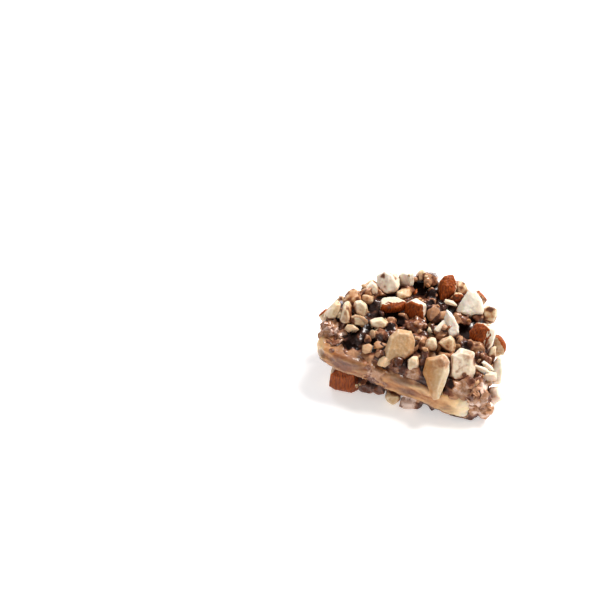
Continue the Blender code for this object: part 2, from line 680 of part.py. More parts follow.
def material(name, colour, roughness):
    """A plain finish in the food's own colour."""
    finish = bpy.data.materials.new(name)
    finish.use_nodes = True
    shader = finish.node_tree.nodes["Principled BSDF"]
    shader.inputs["Base Color"].default_value = (*colour, 1.0)
    shader.inputs["Roughness"].default_value = roughness
    shader.inputs["Metallic"].default_value = 0.0
    return finish


def under_middle(things):
    """The point on the table under the middle of the box round some objects."""
    points = [v.co for thing in things for v in thing.data.vertices]
    lows = [min(p[axis] for p in points) for axis in range(3)]
    highs = [max(p[axis] for p in points) for axis in range(3)]
    return Vector(((lows[0] + highs[0]) / 2, (lows[1] + highs[1]) / 2, lows[2]))


def to_metres(thing, origin, parent):
    """Sizes an object in metres from the origin, with its own origin at its middle, under the
    empty."""
    points = [v.co for v in thing.data.vertices]
    middle = sum(points, Vector()) / len(points)
    thing.data.transform(Matrix.Translation(-middle))
    thing.data.transform(Matrix.Scale(MM, 4))
    thing.location = (middle - origin) * MM
    thing.parent = parent


def build():
    """Makes every piece of the shard."""
    clear_scene()
    to_table = slab_to_table()
    toffee_finish = material("toffee", TOFFEE_COLOUR, 0.35)
    chocolate_finish = material("milk_chocolate", CHOCOLATE_COLOUR, 0.4)
    flesh_finish = material("almond_flesh", FLESH_COLOUR, 0.6)
    skin_finish = material("almond_skin", SKIN_COLOUR, 0.5)

    toffee = toffee_body()
    toffee.transform(to_table)
    almonds = almond_bodies(to_table)
    boxes = []
    for nut, body in almonds:
        xs, ys = [v.co.x for v in body.verts], [v.co.y for v in body.verts]
        if nut.seat == "top":
            boxes.append((min(xs), min(ys), max(xs), max(ys)))

    lumps = COATED_NUTS + SMALL_BITS + rim_lumps()
    lumps += strewn(LUMP_TRIES, LUMP_SEED, LUMP_SIZES, LUMP_SPACING, boxes, LUMP_MARGIN)
    lumps += strewn(CRUMB_TRIES, CRUMB_SEED, CRUMB_SIZES, CRUMB_SPACING, boxes, CRUMB_MARGIN)
    draw = random.Random(LUMP_SHAPE_SEED)
    coat = chocolate_body()
    coat.transform(to_table)
    chocolate = add_object("chocolate", coat)
    boolean(chocolate, [nut_body(nut, draw, to_table) for nut in lumps], "UNION")
    cutters = [grown(toffee, GAP)] + [grown(body, GAP) for _, body in almonds]
    table = bmesh.new()
    bmesh.ops.create_cube(table, size=200.0, matrix=Matrix.Translation((0.0, 0.0, -100.0)))
    boolean(chocolate, cutters + [table], "DIFFERENCE")
    largest_body(chocolate)
    chocolate.data.materials.clear()
    chocolate.data.materials.append(chocolate_finish)

    slab = add_object("toffee", toffee)
    boolean(slab, [grown(body, GAP) for nut, body in almonds if nut.seat == "edge"], "DIFFERENCE")
    largest_body(slab)
    slab.data.materials.append(toffee_finish)
    things = [slab, chocolate]
    for n, (nut, body) in enumerate(almonds, start=1):
        look = "skin" if nut.skin else "bare"
        piece = add_object(f"almond_{look}_{n:02d}", body)
        piece.data.materials.append(skin_finish if nut.skin else flesh_finish)
        things.append(piece)

    shard = bpy.data.objects.new("almond_butter_crunch", None)
    bpy.context.scene.collection.objects.link(shard)
    origin = under_middle(things)
    for thing in things:
        to_metres(thing, origin, shard)


build()
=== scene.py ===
"""The looks of a shard of almond butter crunch: brittle butter toffee, a smeared coat of milk
chocolate and chopped almonds, on a pale floor in soft daylight.

Sizes are millimetres, turned into metres by MM. The slab lies askew, so places on it are given
in its own frame, whose origin is on the toffee's top and whose z is square to the slab.
"""

import logging
import math
import random
from collections.abc import Callable, Iterable
from dataclasses import dataclass, field
from enum import Enum

import bmesh
import bpy
from mathutils import Matrix, Vector, noise
from mathutils.bvhtree import BVHTree


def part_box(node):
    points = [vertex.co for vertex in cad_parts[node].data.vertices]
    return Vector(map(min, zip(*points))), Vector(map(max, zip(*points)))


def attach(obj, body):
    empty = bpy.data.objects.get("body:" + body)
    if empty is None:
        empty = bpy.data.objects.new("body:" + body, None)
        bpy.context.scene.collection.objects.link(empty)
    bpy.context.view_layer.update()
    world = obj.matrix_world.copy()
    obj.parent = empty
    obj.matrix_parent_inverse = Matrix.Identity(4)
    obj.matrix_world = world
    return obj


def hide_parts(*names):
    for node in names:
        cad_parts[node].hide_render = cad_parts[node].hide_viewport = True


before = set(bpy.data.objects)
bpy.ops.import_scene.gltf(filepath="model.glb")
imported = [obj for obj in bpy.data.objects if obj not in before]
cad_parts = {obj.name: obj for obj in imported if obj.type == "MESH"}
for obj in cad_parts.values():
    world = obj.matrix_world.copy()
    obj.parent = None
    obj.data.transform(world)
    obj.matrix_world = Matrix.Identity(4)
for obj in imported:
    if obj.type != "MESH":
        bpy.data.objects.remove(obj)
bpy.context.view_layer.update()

MM = 0.001
LOG = logging.getLogger("shard")
Colour = tuple[float, float, float]
Field = Callable[[Vector, Vector], float]
Places = list[tuple[Vector, Vector]]
Rows = tuple[tuple[float, ...], ...]


class Layer(Enum):
    """Values that a piece holds at each point of its surface, for its material to read."""

    SKIN = "skin"
    SMEAR = "smear"
    TONE_AND_LIGHT = "tone"
    FILM = "film"
    OPEN = "open"
    EDGE = "edge"


def smooth_step(low: float, high: float, value: float) -> float:
    """A smooth rise from 0 at low to 1 at high, or a fall where low is above high."""
    share = max(0.0, min(1.0, (value - low) / (high - low)))
    return share * share * (3.0 - 2.0 * share)


def facets(point: Vector, length: float, seed: float) -> float:
    """Scoops with sharp ridges between them, from 0 in a scoop to 1 on a ridge."""
    near = noise.voronoi(point / (length * MM) + Vector((seed, -seed, 0.5 * seed)))[0]
    return 1.0 - min(1.0, 1.6 * (near[1] - near[0]))


def wave(point: Vector, length: float, seed: float) -> float:
    """Smooth noise from about -1 to 1, whose waves are as long as the given number of millimetres."""
    return 1.5 * noise.noise(point / (length * MM) + Vector((seed, 2.0 * seed, -seed)))


def chance_way(draw: random.Random) -> Vector:
    """A direction drawn by chance."""
    return Vector([draw.gauss(0, 1) for _ in range(3)]).normalized()


def within(point: Vector, ball: Iterable[float], radius: float, core: float = 0.45,
           off: float = 0.0) -> float:
    """How far into a ball a point of the slab is, moved out by off: 0 outside and 1 in its core."""
    return smooth_step(radius, core * radius, (point - Vector(ball)).length + off)


def in_any(point: Vector, balls: Iterable[tuple[float, ...]]) -> bool:
    """Whether a point of the slab is in any of the balls, whose rows begin with place and radius."""
    return any((point - Vector(ball[:3])).length < ball[3] for ball in balls)


def nut_number(node: str) -> int:
    """The number in the name of an almond's node."""
    return int(node[-2:])


def put(name: str, data: bpy.types.ID) -> bpy.types.Object:
    """A new object in the scene."""
    thing = bpy.data.objects.new(name, data)
    bpy.context.scene.collection.objects.link(thing)
    return thing


@dataclass(frozen=True)
class Slab:
    """How the slab lies on the table."""

    rise: float = math.radians(2.9)
    fall: float = math.radians(8.5)
    origin: Vector = field(default_factory=lambda: Vector((0.725, -0.41, 11.4)) * MM)
    break_way: Vector = field(default_factory=lambda: Vector((-0.35, -0.93, 0.0)).normalized())

    def matrix(self) -> Matrix:
        """The slab's frame in the table's."""
        return Matrix.Translation(self.origin) @ self.turn()

    def turn(self) -> Matrix:
        """The slab's tilt alone."""
        return Matrix.Rotation(self.rise, 4, "X") @ Matrix.Rotation(self.fall, 4, "Y")

    def local(self, point: Vector) -> Vector:
        """A point of the table's frame, in millimetres on the slab."""
        return self.turn().transposed() @ (point - self.origin) / MM


SLAB = Slab()


class Body:
    """A closed mesh while it is being modelled."""

    # What an even surface gets for its edges, and how much more a point that stands out gets
    level: float = 0.5
    edge_gain: float = 2.2
    # The rays for openness: how many directions there are, how far apart those of one point are
    # in their list, how near they keep to the surface's own, and how far off it they start, in
    # millimetres
    ray_ways: int = 64
    ray_stride: int = 7
    ray_lean: float = 1.05
    ray_lift: float = 0.15

    def __init__(self, mesh: bmesh.types.BMesh) -> None:
        """Takes over a bmesh."""
        self.mesh = mesh

    @classmethod
    def of_node(cls, node: str) -> "Body":
        """A merged copy of a CAD node's mesh."""
        mesh = bmesh.new()
        mesh.from_mesh(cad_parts[node].data)
        bmesh.ops.remove_doubles(mesh, verts=mesh.verts, dist=0.0005 * MM)
        return cls(mesh)

    def copy(self) -> "Body":
        """The same shape, to be changed on its own."""
        return Body(self.mesh.copy())

    def join(self, other: "Body") -> None:
        """Adds another body's mesh to this one, and uses it up."""
        loose = bpy.data.meshes.new("joined")
        other.mesh.to_mesh(loose)
        other.mesh.free()
        self.mesh.from_mesh(loose)
        bpy.data.meshes.remove(loose)

    def remesh(self, voxel: float) -> None:
        """Makes the surface anew, of even faces.

        Args:
            voxel: The width of a face, in millimetres.
        """
        rough = bpy.data.meshes.new("rough")
        self.mesh.to_mesh(rough)
        self.mesh.free()
        thing = put("rough", rough)
        change = thing.modifiers.new("even", "REMESH")
        change.mode = "VOXEL"
        change.voxel_size = voxel * MM
        graph = bpy.context.evaluated_depsgraph_get()
        even = bpy.data.meshes.new_from_object(thing.evaluated_get(graph))
        self.mesh = bmesh.new()
        self.mesh.from_mesh(even)
        bpy.data.objects.remove(thing)
        bpy.data.meshes.remove(rough)
        bpy.data.meshes.remove(even)

    def slice(self, place: Vector, way: Vector) -> None:
        """Cuts off all that lies beyond a plane, and closes the cut.

        Args:
            place: A point of the plane.
            way: The direction that is cut off.
        """
        cut = bmesh.ops.bisect_plane(
            self.mesh, geom=[*self.mesh.verts, *self.mesh.edges, *self.mesh.faces], dist=0.001 * MM,
            plane_co=place, plane_no=way, clear_outer=True,
        )
        rim = [part for part in cut["geom_cut"] if isinstance(part, bmesh.types.BMEdge)]
        if rim:
            bmesh.ops.edgeloop_fill(self.mesh, edges=rim)

    def soften(self, rounds: int, strength: float = 0.5) -> None:
        """Rounds the surface off."""
        for _ in range(rounds):
            bmesh.ops.smooth_vert(
                self.mesh, verts=self.mesh.verts, factor=strength,
                use_axis_x=True, use_axis_y=True, use_axis_z=True,
            )

    def push(self, height: Field) -> None:
        """Moves each point outwards.

        Args:
            height: Gives the move in millimetres for a point and its outward direction.
        """
        self.mesh.normal_update()
        moves = [v.normal * (height(v.co, v.normal) * MM) for v in self.mesh.verts]
        for vert, move in zip(self.mesh.verts, moves):
            vert.co += move

    def write(self, layer: Layer, value: Field) -> None:
        """Stores a value at each point for the material."""
        self.mesh.normal_update()
        layers = self.mesh.verts.layers.float
        store = layers.get(layer.value) or layers.new(layer.value)
        for vert in self.mesh.verts:
            vert[store] = value(vert.co, vert.normal)

    def write_edges(self, width: float) -> None:
        """Stores how far each point stands out from those around it.

        Args:
            width: The usual length of an edge of the mesh, in millimetres.
        """
        self.mesh.normal_update()
        store = self.mesh.verts.layers.float.new(Layer.EDGE.value)
        for vert in self.mesh.verts:
            rises = [vert.normal.dot(vert.co - edge.other_vert(vert).co) for edge in vert.link_edges]
            vert[store] = self.level + self.edge_gain * sum(rises) / (max(1, len(rises)) * width * MM)
        self.blur(Layer.EDGE, 1)

    def blur(self, layer: Layer, rounds: int) -> None:
        """Evens out a stored value between neighbouring points."""
        store = self.mesh.verts.layers.float[layer.value]
        for _ in range(rounds):
            means = []
            for vert in self.mesh.verts:
                near = [edge.other_vert(vert)[store] for edge in vert.link_edges]
                means.append((vert[store] + sum(near)) / (1 + len(near)))
            for vert, mean in zip(self.mesh.verts, means):
                vert[store] = mean

    def write_openness(self, around: BVHTree, rays: int, reach: float,
                       dim: Field = lambda point, way: 1.0) -> None:
        """Stores how open each point is to the light, from 0 in a crevice to 1.

        Args:
            around: All that may stand in the way.
            rays: How many rays are sent out from each point.
            reach: How far they go, in millimetres.
            dim: Lowers the result at some points.
        """
        draw = random.Random(4)
        ways = [chance_way(draw) for _ in range(self.ray_ways)]

        def openness(point: Vector, way: Vector) -> float:
            """The share of a point's rays that get away."""
            start = point + way * (self.ray_lift * MM)
            first = draw.randrange(len(ways))
            free = 0
            for n in range(rays):
                ray = (way * self.ray_lean + ways[(first + self.ray_stride * n) % len(ways)]).normalized()
                if around.ray_cast(start, ray, reach * MM)[0] is None:
                    free += 1
            return dim(point, way) * free / rays

        self.write(Layer.OPEN, openness)
        self.blur(Layer.OPEN, 3)

    def tree(self) -> BVHTree:
        """A tree of the surface for distances and rays."""
        return BVHTree.FromBMesh(self.mesh)

    def show(self, name: str, material: bpy.types.Material, slot: str, *nodes: str) -> None:
        """Puts the finished body into the scene.

        Args:
            name: The piece's name.
            material: Its finish.
            slot: Not used.
            nodes: The CAD nodes that it stands for.
        """
        for vert in self.mesh.verts:
            vert.co.z = max(vert.co.z, 0.0)
        data = bpy.data.meshes.new(name)
        self.mesh.to_mesh(data)
        self.mesh.free()
        data.shade_smooth()
        data.materials.append(material)
        piece = put(name, data)
        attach(piece, "root")
        if nodes:
            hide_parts(*nodes)
        LOG.info("%s: %d faces", name, len(data.polygons))


class Value:
    """A number in a material's node tree, on which maths can be written."""

    def __init__(self, sheet: "Sheet", socket: bpy.types.NodeSocket) -> None:
        """Wraps a socket of one sheet of nodes."""
        self.sheet = sheet
        self.socket = socket

    def maths(self, operation: str, *others: "Value | float", clamp: bool = False) -> "Value":
        """One Math node on this value and others."""
        settings = {"operation": operation, "use_clamp": clamp}
        return self.sheet.value("ShaderNodeMath", settings, dict(enumerate((self, *others))))

    def __add__(self, other: "Value | float") -> "Value":
        """The sum."""
        return self.maths("ADD", other)

    __radd__ = __add__

    def __mul__(self, other: "Value | float") -> "Value":
        """The product."""
        return self.maths("MULTIPLY", other)

    __rmul__ = __mul__

    def __sub__(self, other: "Value | float") -> "Value":
        """The difference."""
        return self.maths("SUBTRACT", other)

    def __rsub__(self, other: float) -> "Value":
        """The difference from a plain number."""
        return (self * -1.0).maths("ADD", other)

    def clamped(self) -> "Value":
        """This value held between 0 and 1."""
        return self.maths("ADD", 0.0, clamp=True)

    def step(self, low: float, high: float) -> "Value":
        """A smooth rise from 0 at low to 1 at high."""
        settings = {"interpolation_type": "SMOOTHSTEP"}
        inputs = {"Value": self, "From Min": low, "From Max": high}
        return self.sheet.value("ShaderNodeMapRange", settings, inputs)


class Sheet:
    """A material and the nodes that make it."""

    def __init__(self, name: str, **constants: float | tuple) -> None:
        """Starts a material.

        Args:
            name: The material's name.
            constants: Values of the shader that are the same all over, by their names with
                underscores for spaces.
        """
        self.material = bpy.data.materials.new(name)
        self.material.use_nodes = True
        self.tree = self.material.node_tree
        self.shader = self.tree.nodes["Principled BSDF"]
        for key, constant in constants.items():
            self.shader.inputs[key.replace("_", " ")].default_value = constant

    def node(self, kind: str, settings: dict, inputs: dict) -> bpy.types.Node:
        """Any node.

        Args:
            kind: The node's type.
            settings: Its settings, which are set first.
            inputs: Its sockets' values or links, by name or number.

        Returns:
            The node.
        """
        made = self.tree.nodes.new(kind)
        for key, setting in settings.items():
            setattr(made, key, setting)
        for key, given in inputs.items():
            if isinstance(given, Value):
                self.tree.links.new(given.socket, made.inputs[key])
            elif isinstance(given, bpy.types.NodeSocket):
                self.tree.links.new(given, made.inputs[key])
            else:
                made.inputs[key].default_value = given
        return made

    def value(self, kind: str, settings: dict, inputs: dict, output: int | str = 0) -> Value:
        """A node's output as a number."""
        return Value(self, self.node(kind, settings, inputs).outputs[output])

    def place(self, stretch: Colour = (1.0, 1.0, 1.0), turned: bool = False) -> bpy.types.NodeSocket:
        """Places on the piece in millimetres, stretched, and turned with the slab if asked."""
        where = self.node("ShaderNodeTexCoord", {}, {}).outputs["Object"]
        scale = tuple(1.0 / (MM * share) for share in stretch)
        if turned:
            tilt = SLAB.turn().transposed().to_euler()
            inputs = {"Vector": where, "Rotation": tilt}
            where = self.node("ShaderNodeMapping", {"vector_type": "POINT"}, inputs).outputs[0]
        return self.node("ShaderNodeMapping", {}, {"Vector": where, "Scale": scale}).outputs[0]

    def clouds(self, length: float, where: bpy.types.NodeSocket, detail: float = 3.0,
               roughness: float = 0.55) -> Value:
        """Noise from 0 to 1 with waves of the given length in millimetres."""
        inputs = {"Vector": where, "Scale": 1.0 / length, "Detail": detail, "Roughness": roughness}
        return self.value("ShaderNodeTexNoise", {}, inputs)

    def lumps(self, length: float, where: bpy.types.NodeSocket) -> Value:
        """A number of its own for each lump of the given size, from about 0.2 to 0.8."""
        bend = self.node("ShaderNodeTexNoise", {}, {"Vector": where, "Scale": 0.8}).outputs["Color"]
        shift = self.node("ShaderNodeVectorMath", {"operation": "ADD"}, {0: where, 1: bend}).outputs[0]
        return self.value("ShaderNodeTexVoronoi", {}, {"Vector": shift, "Scale": 1.0 / length}, "Color")

    def vary_coat(self, weight: Value) -> None:
        """Sets how glossy each point is."""
        self.tree.links.new(weight.socket, self.shader.inputs["Coat Weight"])

    def layer(self, layer: Layer) -> Value:
        """A value that the piece holds at each point."""
        return self.value("ShaderNodeAttribute", {"attribute_name": layer.value}, {}, "Fac")

    def mix(self, share: Value, low: "Colour | bpy.types.NodeSocket", high: "Colour | bpy.types.NodeSocket",
            blend: str = "MIX") -> bpy.types.NodeSocket:
        """A colour between two others.

        Args:
            share: 0 for the first colour and 1 for the second.
            low: The first colour.
            high: The second colour.
            blend: How the second goes over the first.

        Returns:
            The mixed colour.
        """
        factor, first, second = 0, 6, 7
        colours = [(*c, 1.0) if isinstance(c, tuple) else c for c in (low, high)]
        settings = {"data_type": "RGBA", "blend_type": blend}
        made = self.node("ShaderNodeMix", settings, {factor: share, first: colours[0], second: colours[1]})
        return made.outputs[2]

    def finish(self, colour: bpy.types.NodeSocket, roughness: Value, relief: Value,
               depth: float) -> bpy.types.Material:
        """Joins the shader's last sockets.

        Args:
            colour: The base colour.
            roughness: The roughness.
            relief: The fine relief, from 0 to 1.
            depth: How deep that relief is, in millimetres.

        Returns:
            The material.
        """
        bump = self.node("ShaderNodeBump", {}, {"Height": relief, "Distance": depth * MM, "Strength": 1.0})
        self.tree.links.new(colour, self.shader.inputs["Base Color"])
        self.tree.links.new(roughness.socket, self.shader.inputs["Roughness"])
        self.tree.links.new(bump.outputs[0], self.shader.inputs["Normal"])
        return self.material


@dataclass(frozen=True)
class AlmondFinish:
    """Chopped almond: waxy cream flesh, paler on its ridges, tan or white by each piece's tone,
    which is partly painted shade and light, finely ridged brown skin, stains and smears of
    chocolate, and painted warm and dark shade where it is shut in."""

    cream: Colour = (0.60, 0.40, 0.205)
    pale: Colour = (0.74, 0.60, 0.41)
    white: Colour = (0.93, 0.88, 0.78)
    tan: Colour = (0.46, 0.215, 0.072)
    stain: Colour = (0.35, 0.125, 0.040)
    painted_warm_shade: Colour = (0.94, 0.57, 0.40)
    painted_crevice_shade: Colour = (0.10, 0.018, 0.005)
    skin_dark: Colour = (0.10, 0.012, 0.001)
    skin_light: Colour = (0.42, 0.090, 0.008)
    smear: Colour = (0.10, 0.028, 0.012)

    def material(self) -> bpy.types.Material:
        """The finish as a material."""
        sheet = Sheet("almond", Subsurface_Weight=0.4, Subsurface_Radius=(1.0, 0.6, 0.35),
                      Subsurface_Scale=1.3 * MM, Coat_Roughness=0.2, Specular_IOR_Level=0.25)
        where = sheet.place()
        along = sheet.place((0.35, 0.35, 2.2), turned=True)
        grain = sheet.clouds(0.35, where, 4.0)
        broad, fine = sheet.clouds(2.6, where) - 0.5, grain - 0.5
        ridges = sheet.clouds(1.0, along, 4.0, 0.6)
        edge = sheet.layer(Layer.EDGE)
        streaks = sheet.clouds(0.9, along, 3.0) - 0.5
        light = (edge + 0.6 * (sheet.clouds(1.3, where) - 0.5) + 0.3 * streaks).step(0.3, 0.7)
        flesh = sheet.mix(light, self.cream, self.pale)
        # Each piece's tone, partly its own and partly painted light and shade
        own = sheet.layer(Layer.TONE_AND_LIGHT)
        tone = (own + 0.7 * broad + 0.8 * streaks - 0.5 * (edge - 0.5)).clamped()
        flesh = sheet.mix(tone, flesh, self.tan)
        flesh = sheet.mix((-1.2 * (own + 0.3 * broad)).clamped(), flesh, self.white)
        near = sheet.layer(Layer.SMEAR)
        stain = (near + 0.7 * broad + 0.4 * fine - 0.5 * (edge - 0.5)).step(0.05, 0.75)
        flesh = sheet.mix(stain * 0.8, flesh, self.stain)
        skin = sheet.mix((0.65 * ridges + 0.35 * edge).step(0.32, 0.68), self.skin_dark, self.skin_light)
        skin_edge = (sheet.layer(Layer.SKIN) + 0.3 * fine).step(0.35, 0.6)
        colour = sheet.mix(skin_edge, flesh, skin)
        # Painted warm shade and bounce light where the surface is partly shut in
        bounce = (sheet.layer(Layer.OPEN) + 0.3 * broad).step(1.0, 0.35)
        colour = sheet.mix(bounce * 0.4, colour, self.painted_warm_shade, "MULTIPLY")
        # Painted shade: dark in crevices that are shut in from the light
        crevice_shade_share = (sheet.layer(Layer.OPEN) + 0.25 * fine).step(0.68, 0.12)
        colour = sheet.mix(crevice_shade_share * 0.8, colour, self.painted_crevice_shade)
        smear = (near + 0.6 * fine + 0.4 * broad).step(0.6, 0.95)
        colour = sheet.mix(smear * 0.85, colour, self.smear)
        roughness = 0.42 + 0.08 * skin_edge - 0.12 * smear + 0.2 * fine
        sheet.vary_coat(0.25 * (grain - 0.45).clamped() + 0.3 * smear)
        relief = 0.5 * grain + 0.5 * skin_edge * ridges
        return sheet.finish(colour, roughness, relief, 0.12)


@dataclass(frozen=True)
class ChocolateFinish:
    """Milk chocolate: near black with painted shade in its hollows and crevices, and lighter as a thin
    film on a nut, with a painted pale sheen where it is thinnest and pale specks that are partly
    dust and partly painted sheen, each nut with a colour of its own."""

    # Painted shade: the near black of crevices and hollows
    painted_deep_shade: Colour = (0.010, 0.0020, 0.0008)
    milk: Colour = (0.082, 0.021, 0.008)
    film: Colour = (0.225, 0.080, 0.040)
    caramel: Colour = (0.50, 0.25, 0.125)
    # A painted pale sheen, for where the coat is thinnest
    painted_sheen: Colour = (0.86, 0.64, 0.54)
    dust_and_sheen: Colour = (0.52, 0.36, 0.24)

    def material(self) -> bpy.types.Material:
        """The finish as a material."""
        sheet = Sheet("milk_chocolate", Coat_Roughness=0.12, Specular_IOR_Level=0.12)
        where = sheet.place()
        broad, grain = sheet.clouds(3.2, where, 4.0), sheet.clouds(0.45, where, 5.0, 0.6)
        fine = grain - 0.5
        edge = sheet.layer(Layer.EDGE) - 0.5
        open_way = sheet.layer(Layer.OPEN)
        # Painted shade: darker where the surface is shut in from the light, most in the hollows
        shade = (open_way + 0.6 * edge + 0.3 * (broad - 0.5)).step(0.3, 0.95)
        colour = sheet.mix(shade, self.painted_deep_shade, self.milk)
        own = sheet.lumps(3.6, where) - 0.5
        thin = sheet.layer(Layer.FILM)
        film = (thin + 0.9 * edge + 1.7 * own + 0.6 * fine).step(0.15, 0.9)
        colour = sheet.mix(film, colour, self.film)
        bare = (thin + 1.2 * edge + 1.7 * own + 0.8 * fine).step(0.75, 1.2)
        colour = sheet.mix(bare * 0.85, colour, self.caramel)
        # A painted pale pinkish sheen where the coat is thinnest
        painted_sheen = (thin + 0.7 * edge + 0.8 * fine).step(1.05, 1.6)
        colour = sheet.mix(painted_sheen * 0.9, colour, self.painted_sheen)
        # Pale specks on places open to the light, partly dust and partly a painted sheen
        dust_and_sheen = sheet.clouds(0.8, where, 6.0, 0.7).step(0.64, 0.74) * open_way
        colour = sheet.mix(dust_and_sheen * 0.45, colour, self.dust_and_sheen)
        open_places = open_way.step(0.25, 0.6)
        roughness = 0.62 - 0.3 * open_places + 0.4 * (grain - 0.4).clamped() + 0.1 * film
        sheet.vary_coat(sheet.clouds(1.8, where).step(0.34, 0.55) * open_places * (thin + 0.8).clamped())
        return sheet.finish(colour, roughness, 0.55 * grain + 0.45 * broad, 0.4)


@dataclass(frozen=True)
class ToffeeFinish:
    """Butter toffee: opaque amber with paler streaks along the slab, pinkish tan to the left and
    golden to the right, with a painted highlight on the left nose and a painted pale streak
    across the break, and brown smears."""

    amber: Colour = (0.33, 0.097, 0.023)
    pale: Colour = (0.56, 0.26, 0.094)
    gold: Colour = (0.92, 0.64, 0.33)
    cream: Colour = (0.96, 0.84, 0.66)
    burnt: Colour = (0.17, 0.038, 0.009)
    smear: Colour = (0.10, 0.030, 0.014)

    def material(self) -> bpy.types.Material:
        """The finish as a material."""
        sheet = Sheet("butter_toffee", Subsurface_Weight=0.3, Subsurface_Radius=(1.0, 0.5, 0.2),
                      Subsurface_Scale=1.5 * MM, Coat_Roughness=0.15, Specular_IOR_Level=0.35)
        where = sheet.place()
        along = sheet.place((2.0, 2.0, 1.2), turned=True)
        streaks, bands = sheet.clouds(1.9, along, 2.0, 0.45), sheet.clouds(3.4, along, 1.5)
        grain = sheet.clouds(0.4, where, 5.0, 0.6)
        fine, broad = grain - 0.5, sheet.clouds(4.5, where) - 0.5
        edge = sheet.layer(Layer.EDGE) - 0.5
        colour = sheet.mix((streaks + 0.6 * edge + 0.15 * fine).step(0.3, 0.7), self.amber, self.pale)
        colour = sheet.mix(bands.step(0.5, 0.75) * 0.5, colour, self.burnt)
        # The tone layer, with its painted highlights, makes the toffee golden
        gold = (sheet.layer(Layer.TONE_AND_LIGHT) + 0.5 * edge + 0.4 * fine).clamped()
        colour = sheet.mix(gold, colour, self.gold)
        colour = sheet.mix((sheet.layer(Layer.TONE_AND_LIGHT) - 1.0 + 0.4 * fine).clamped(), colour, self.cream)
        smear = (sheet.layer(Layer.SMEAR) + 0.6 * broad + 0.35 * fine - 0.4 * edge).step(0.2, 1.0)
        colour = sheet.mix(smear * 0.85, colour, self.smear)
        roughness = 0.38 + 0.3 * fine - 0.1 * smear
        sheet.vary_coat(0.3 + 0.3 * smear)
        return sheet.finish(colour, roughness, 0.6 * grain + 0.4 * streaks, 0.16)


@dataclass
class Toffee:
    """The slab of toffee, bare on its broken front and left sides.

    The break has steps and scallops where the slab snapped, along the layers that it was
    poured in.
    """

    voxel: float = 0.3
    step_depth: float = 0.55
    layer_height: float = 1.7
    grain: float = 0.06

    def build(self) -> Body:
        """The slab's shape, with the values that its finish reads."""
        body = Body.of_node("toffee")
        body.remesh(self.voxel)
        body.soften(4)
        body.push(self.relief)
        body.soften(1, 0.3)
        body.write(Layer.TONE_AND_LIGHT, self.paleness_and_highlights)
        body.write(Layer.SMEAR, self.smears)
        body.write_edges(self.voxel)
        return body

    def relief(self, point: Vector, way: Vector) -> float:
        """How far a point of the slab stands out."""
        p = SLAB.local(point)
        side = smooth_step(0.8, 0.35, abs(way.z))
        layers = math.sin(math.tau * (p.z / self.layer_height + 0.8 * wave(point, 7.0, 3.0)))
        long_cells = Vector((p.x * 0.6, p.y * 0.6, p.z * 1.1)) * MM
        scoops = facets(long_cells, 2.6, 2.0)
        steps = 0.22 * layers * wave(point, 5.0, 8.0) + 0.6 * (scoops - 0.5)
        fine = noise.fractal(point / (0.9 * MM), 0.9, 2.1, 3)
        return side * self.step_depth * steps + 0.2 * wave(point, 3.0, 1.0) + self.grain * fine

    def paleness_and_highlights(self, point: Vector, way: Vector) -> float:
        """Golden towards the right and along the thin lower edge of the break, with painted
        highlights on the nose and across the middle.
        """
        p = SLAB.local(point)
        low_edge = smooth_step(-3.6, -5.6, p.z - 0.05 * p.x + 0.9 * wave(point, 6.0, 4.0))
        right = smooth_step(4.0, 11.0, p.x)
        # Painted highlights: a pale rim on the nose at the left and a pale streak across the break
        nose_highlight = 0.6 * smooth_step(-25.4, -27.0, p.x + 0.5 * wave(point, 2.0, 5.0))
        painted_highlight_streak = 0.6 * math.exp(-((p.z + 1.6 + 0.12 * p.x + 0.6 * wave(point, 5.0, 12.0)) / 0.7) ** 2)
        painted_highlight_streak *= smooth_step(-9.0, -5.0, p.x) * smooth_step(6.0, 2.0, p.x)
        golden = (0.7 + 0.4 * wave(point, 3.5, 6.0)) * right
        end = smooth_step(9.0, 14.0, p.x + 0.6 * wave(point, 3.0, 2.0))
        return max(low_edge * (0.2 + 0.6 * right), golden, nose_highlight, painted_highlight_streak) + end

    def smears(self, point: Vector, way: Vector) -> float:
        """Brown smears: under the coat, in a spot on the side, in patches and along the base."""
        p = SLAB.local(point)
        under_coat = smooth_step(-2.0, 0.6, p.z + 1.0 * wave(point, 4.0, 7.0)) * 0.6
        spot = math.exp(-((p.x + 12.5) ** 2 + (p.z + 3.0) ** 2) / 7.0)
        patch = math.exp(-((p.x + 2.5) ** 2 + 2.6 * (p.z + 3.9) ** 2) / 10.0) * 0.8
        low = smooth_step(-4.4, -6.2, p.z) * smooth_step(8.0, 0.0, abs(p.x + 1.5)) * 0.7
        patches = smooth_step(0.1, 0.7, wave(point, 4.5, 9.0)) * (0.5 if p.x > 6.0 else 0.7)
        left = 0.5 * smooth_step(-10.0, -16.0, p.x) * smooth_step(-26.5, -22.0, p.x)
        left += 0.35 * math.exp(-((p.x + 19.0) ** 2 / 14.0 + (p.z + 1.4) ** 2 / 2.4))
        left += 0.4 * math.exp(-((p.x + 24.0) ** 2 / 10.0 + (p.z + 3.0) ** 2 / 2.0))
        ledge = 0.95 * math.exp(-((p.x + 4.5) ** 2 / 20.0 + (p.z + 0.9) ** 2 / 1.8))
        return min(1.0, max(under_coat, spot, patch, low, patches, left, ledge))


@dataclass(frozen=True)
class Chop:
    """How a piece is chopped."""

    # How many cuts there are, how near to the middle they come and how far from it, as shares
    # of the way out, and how deep the scoops are for their usual depth
    cuts: int
    nearest: float
    depth: float
    farthest: float = 0.95


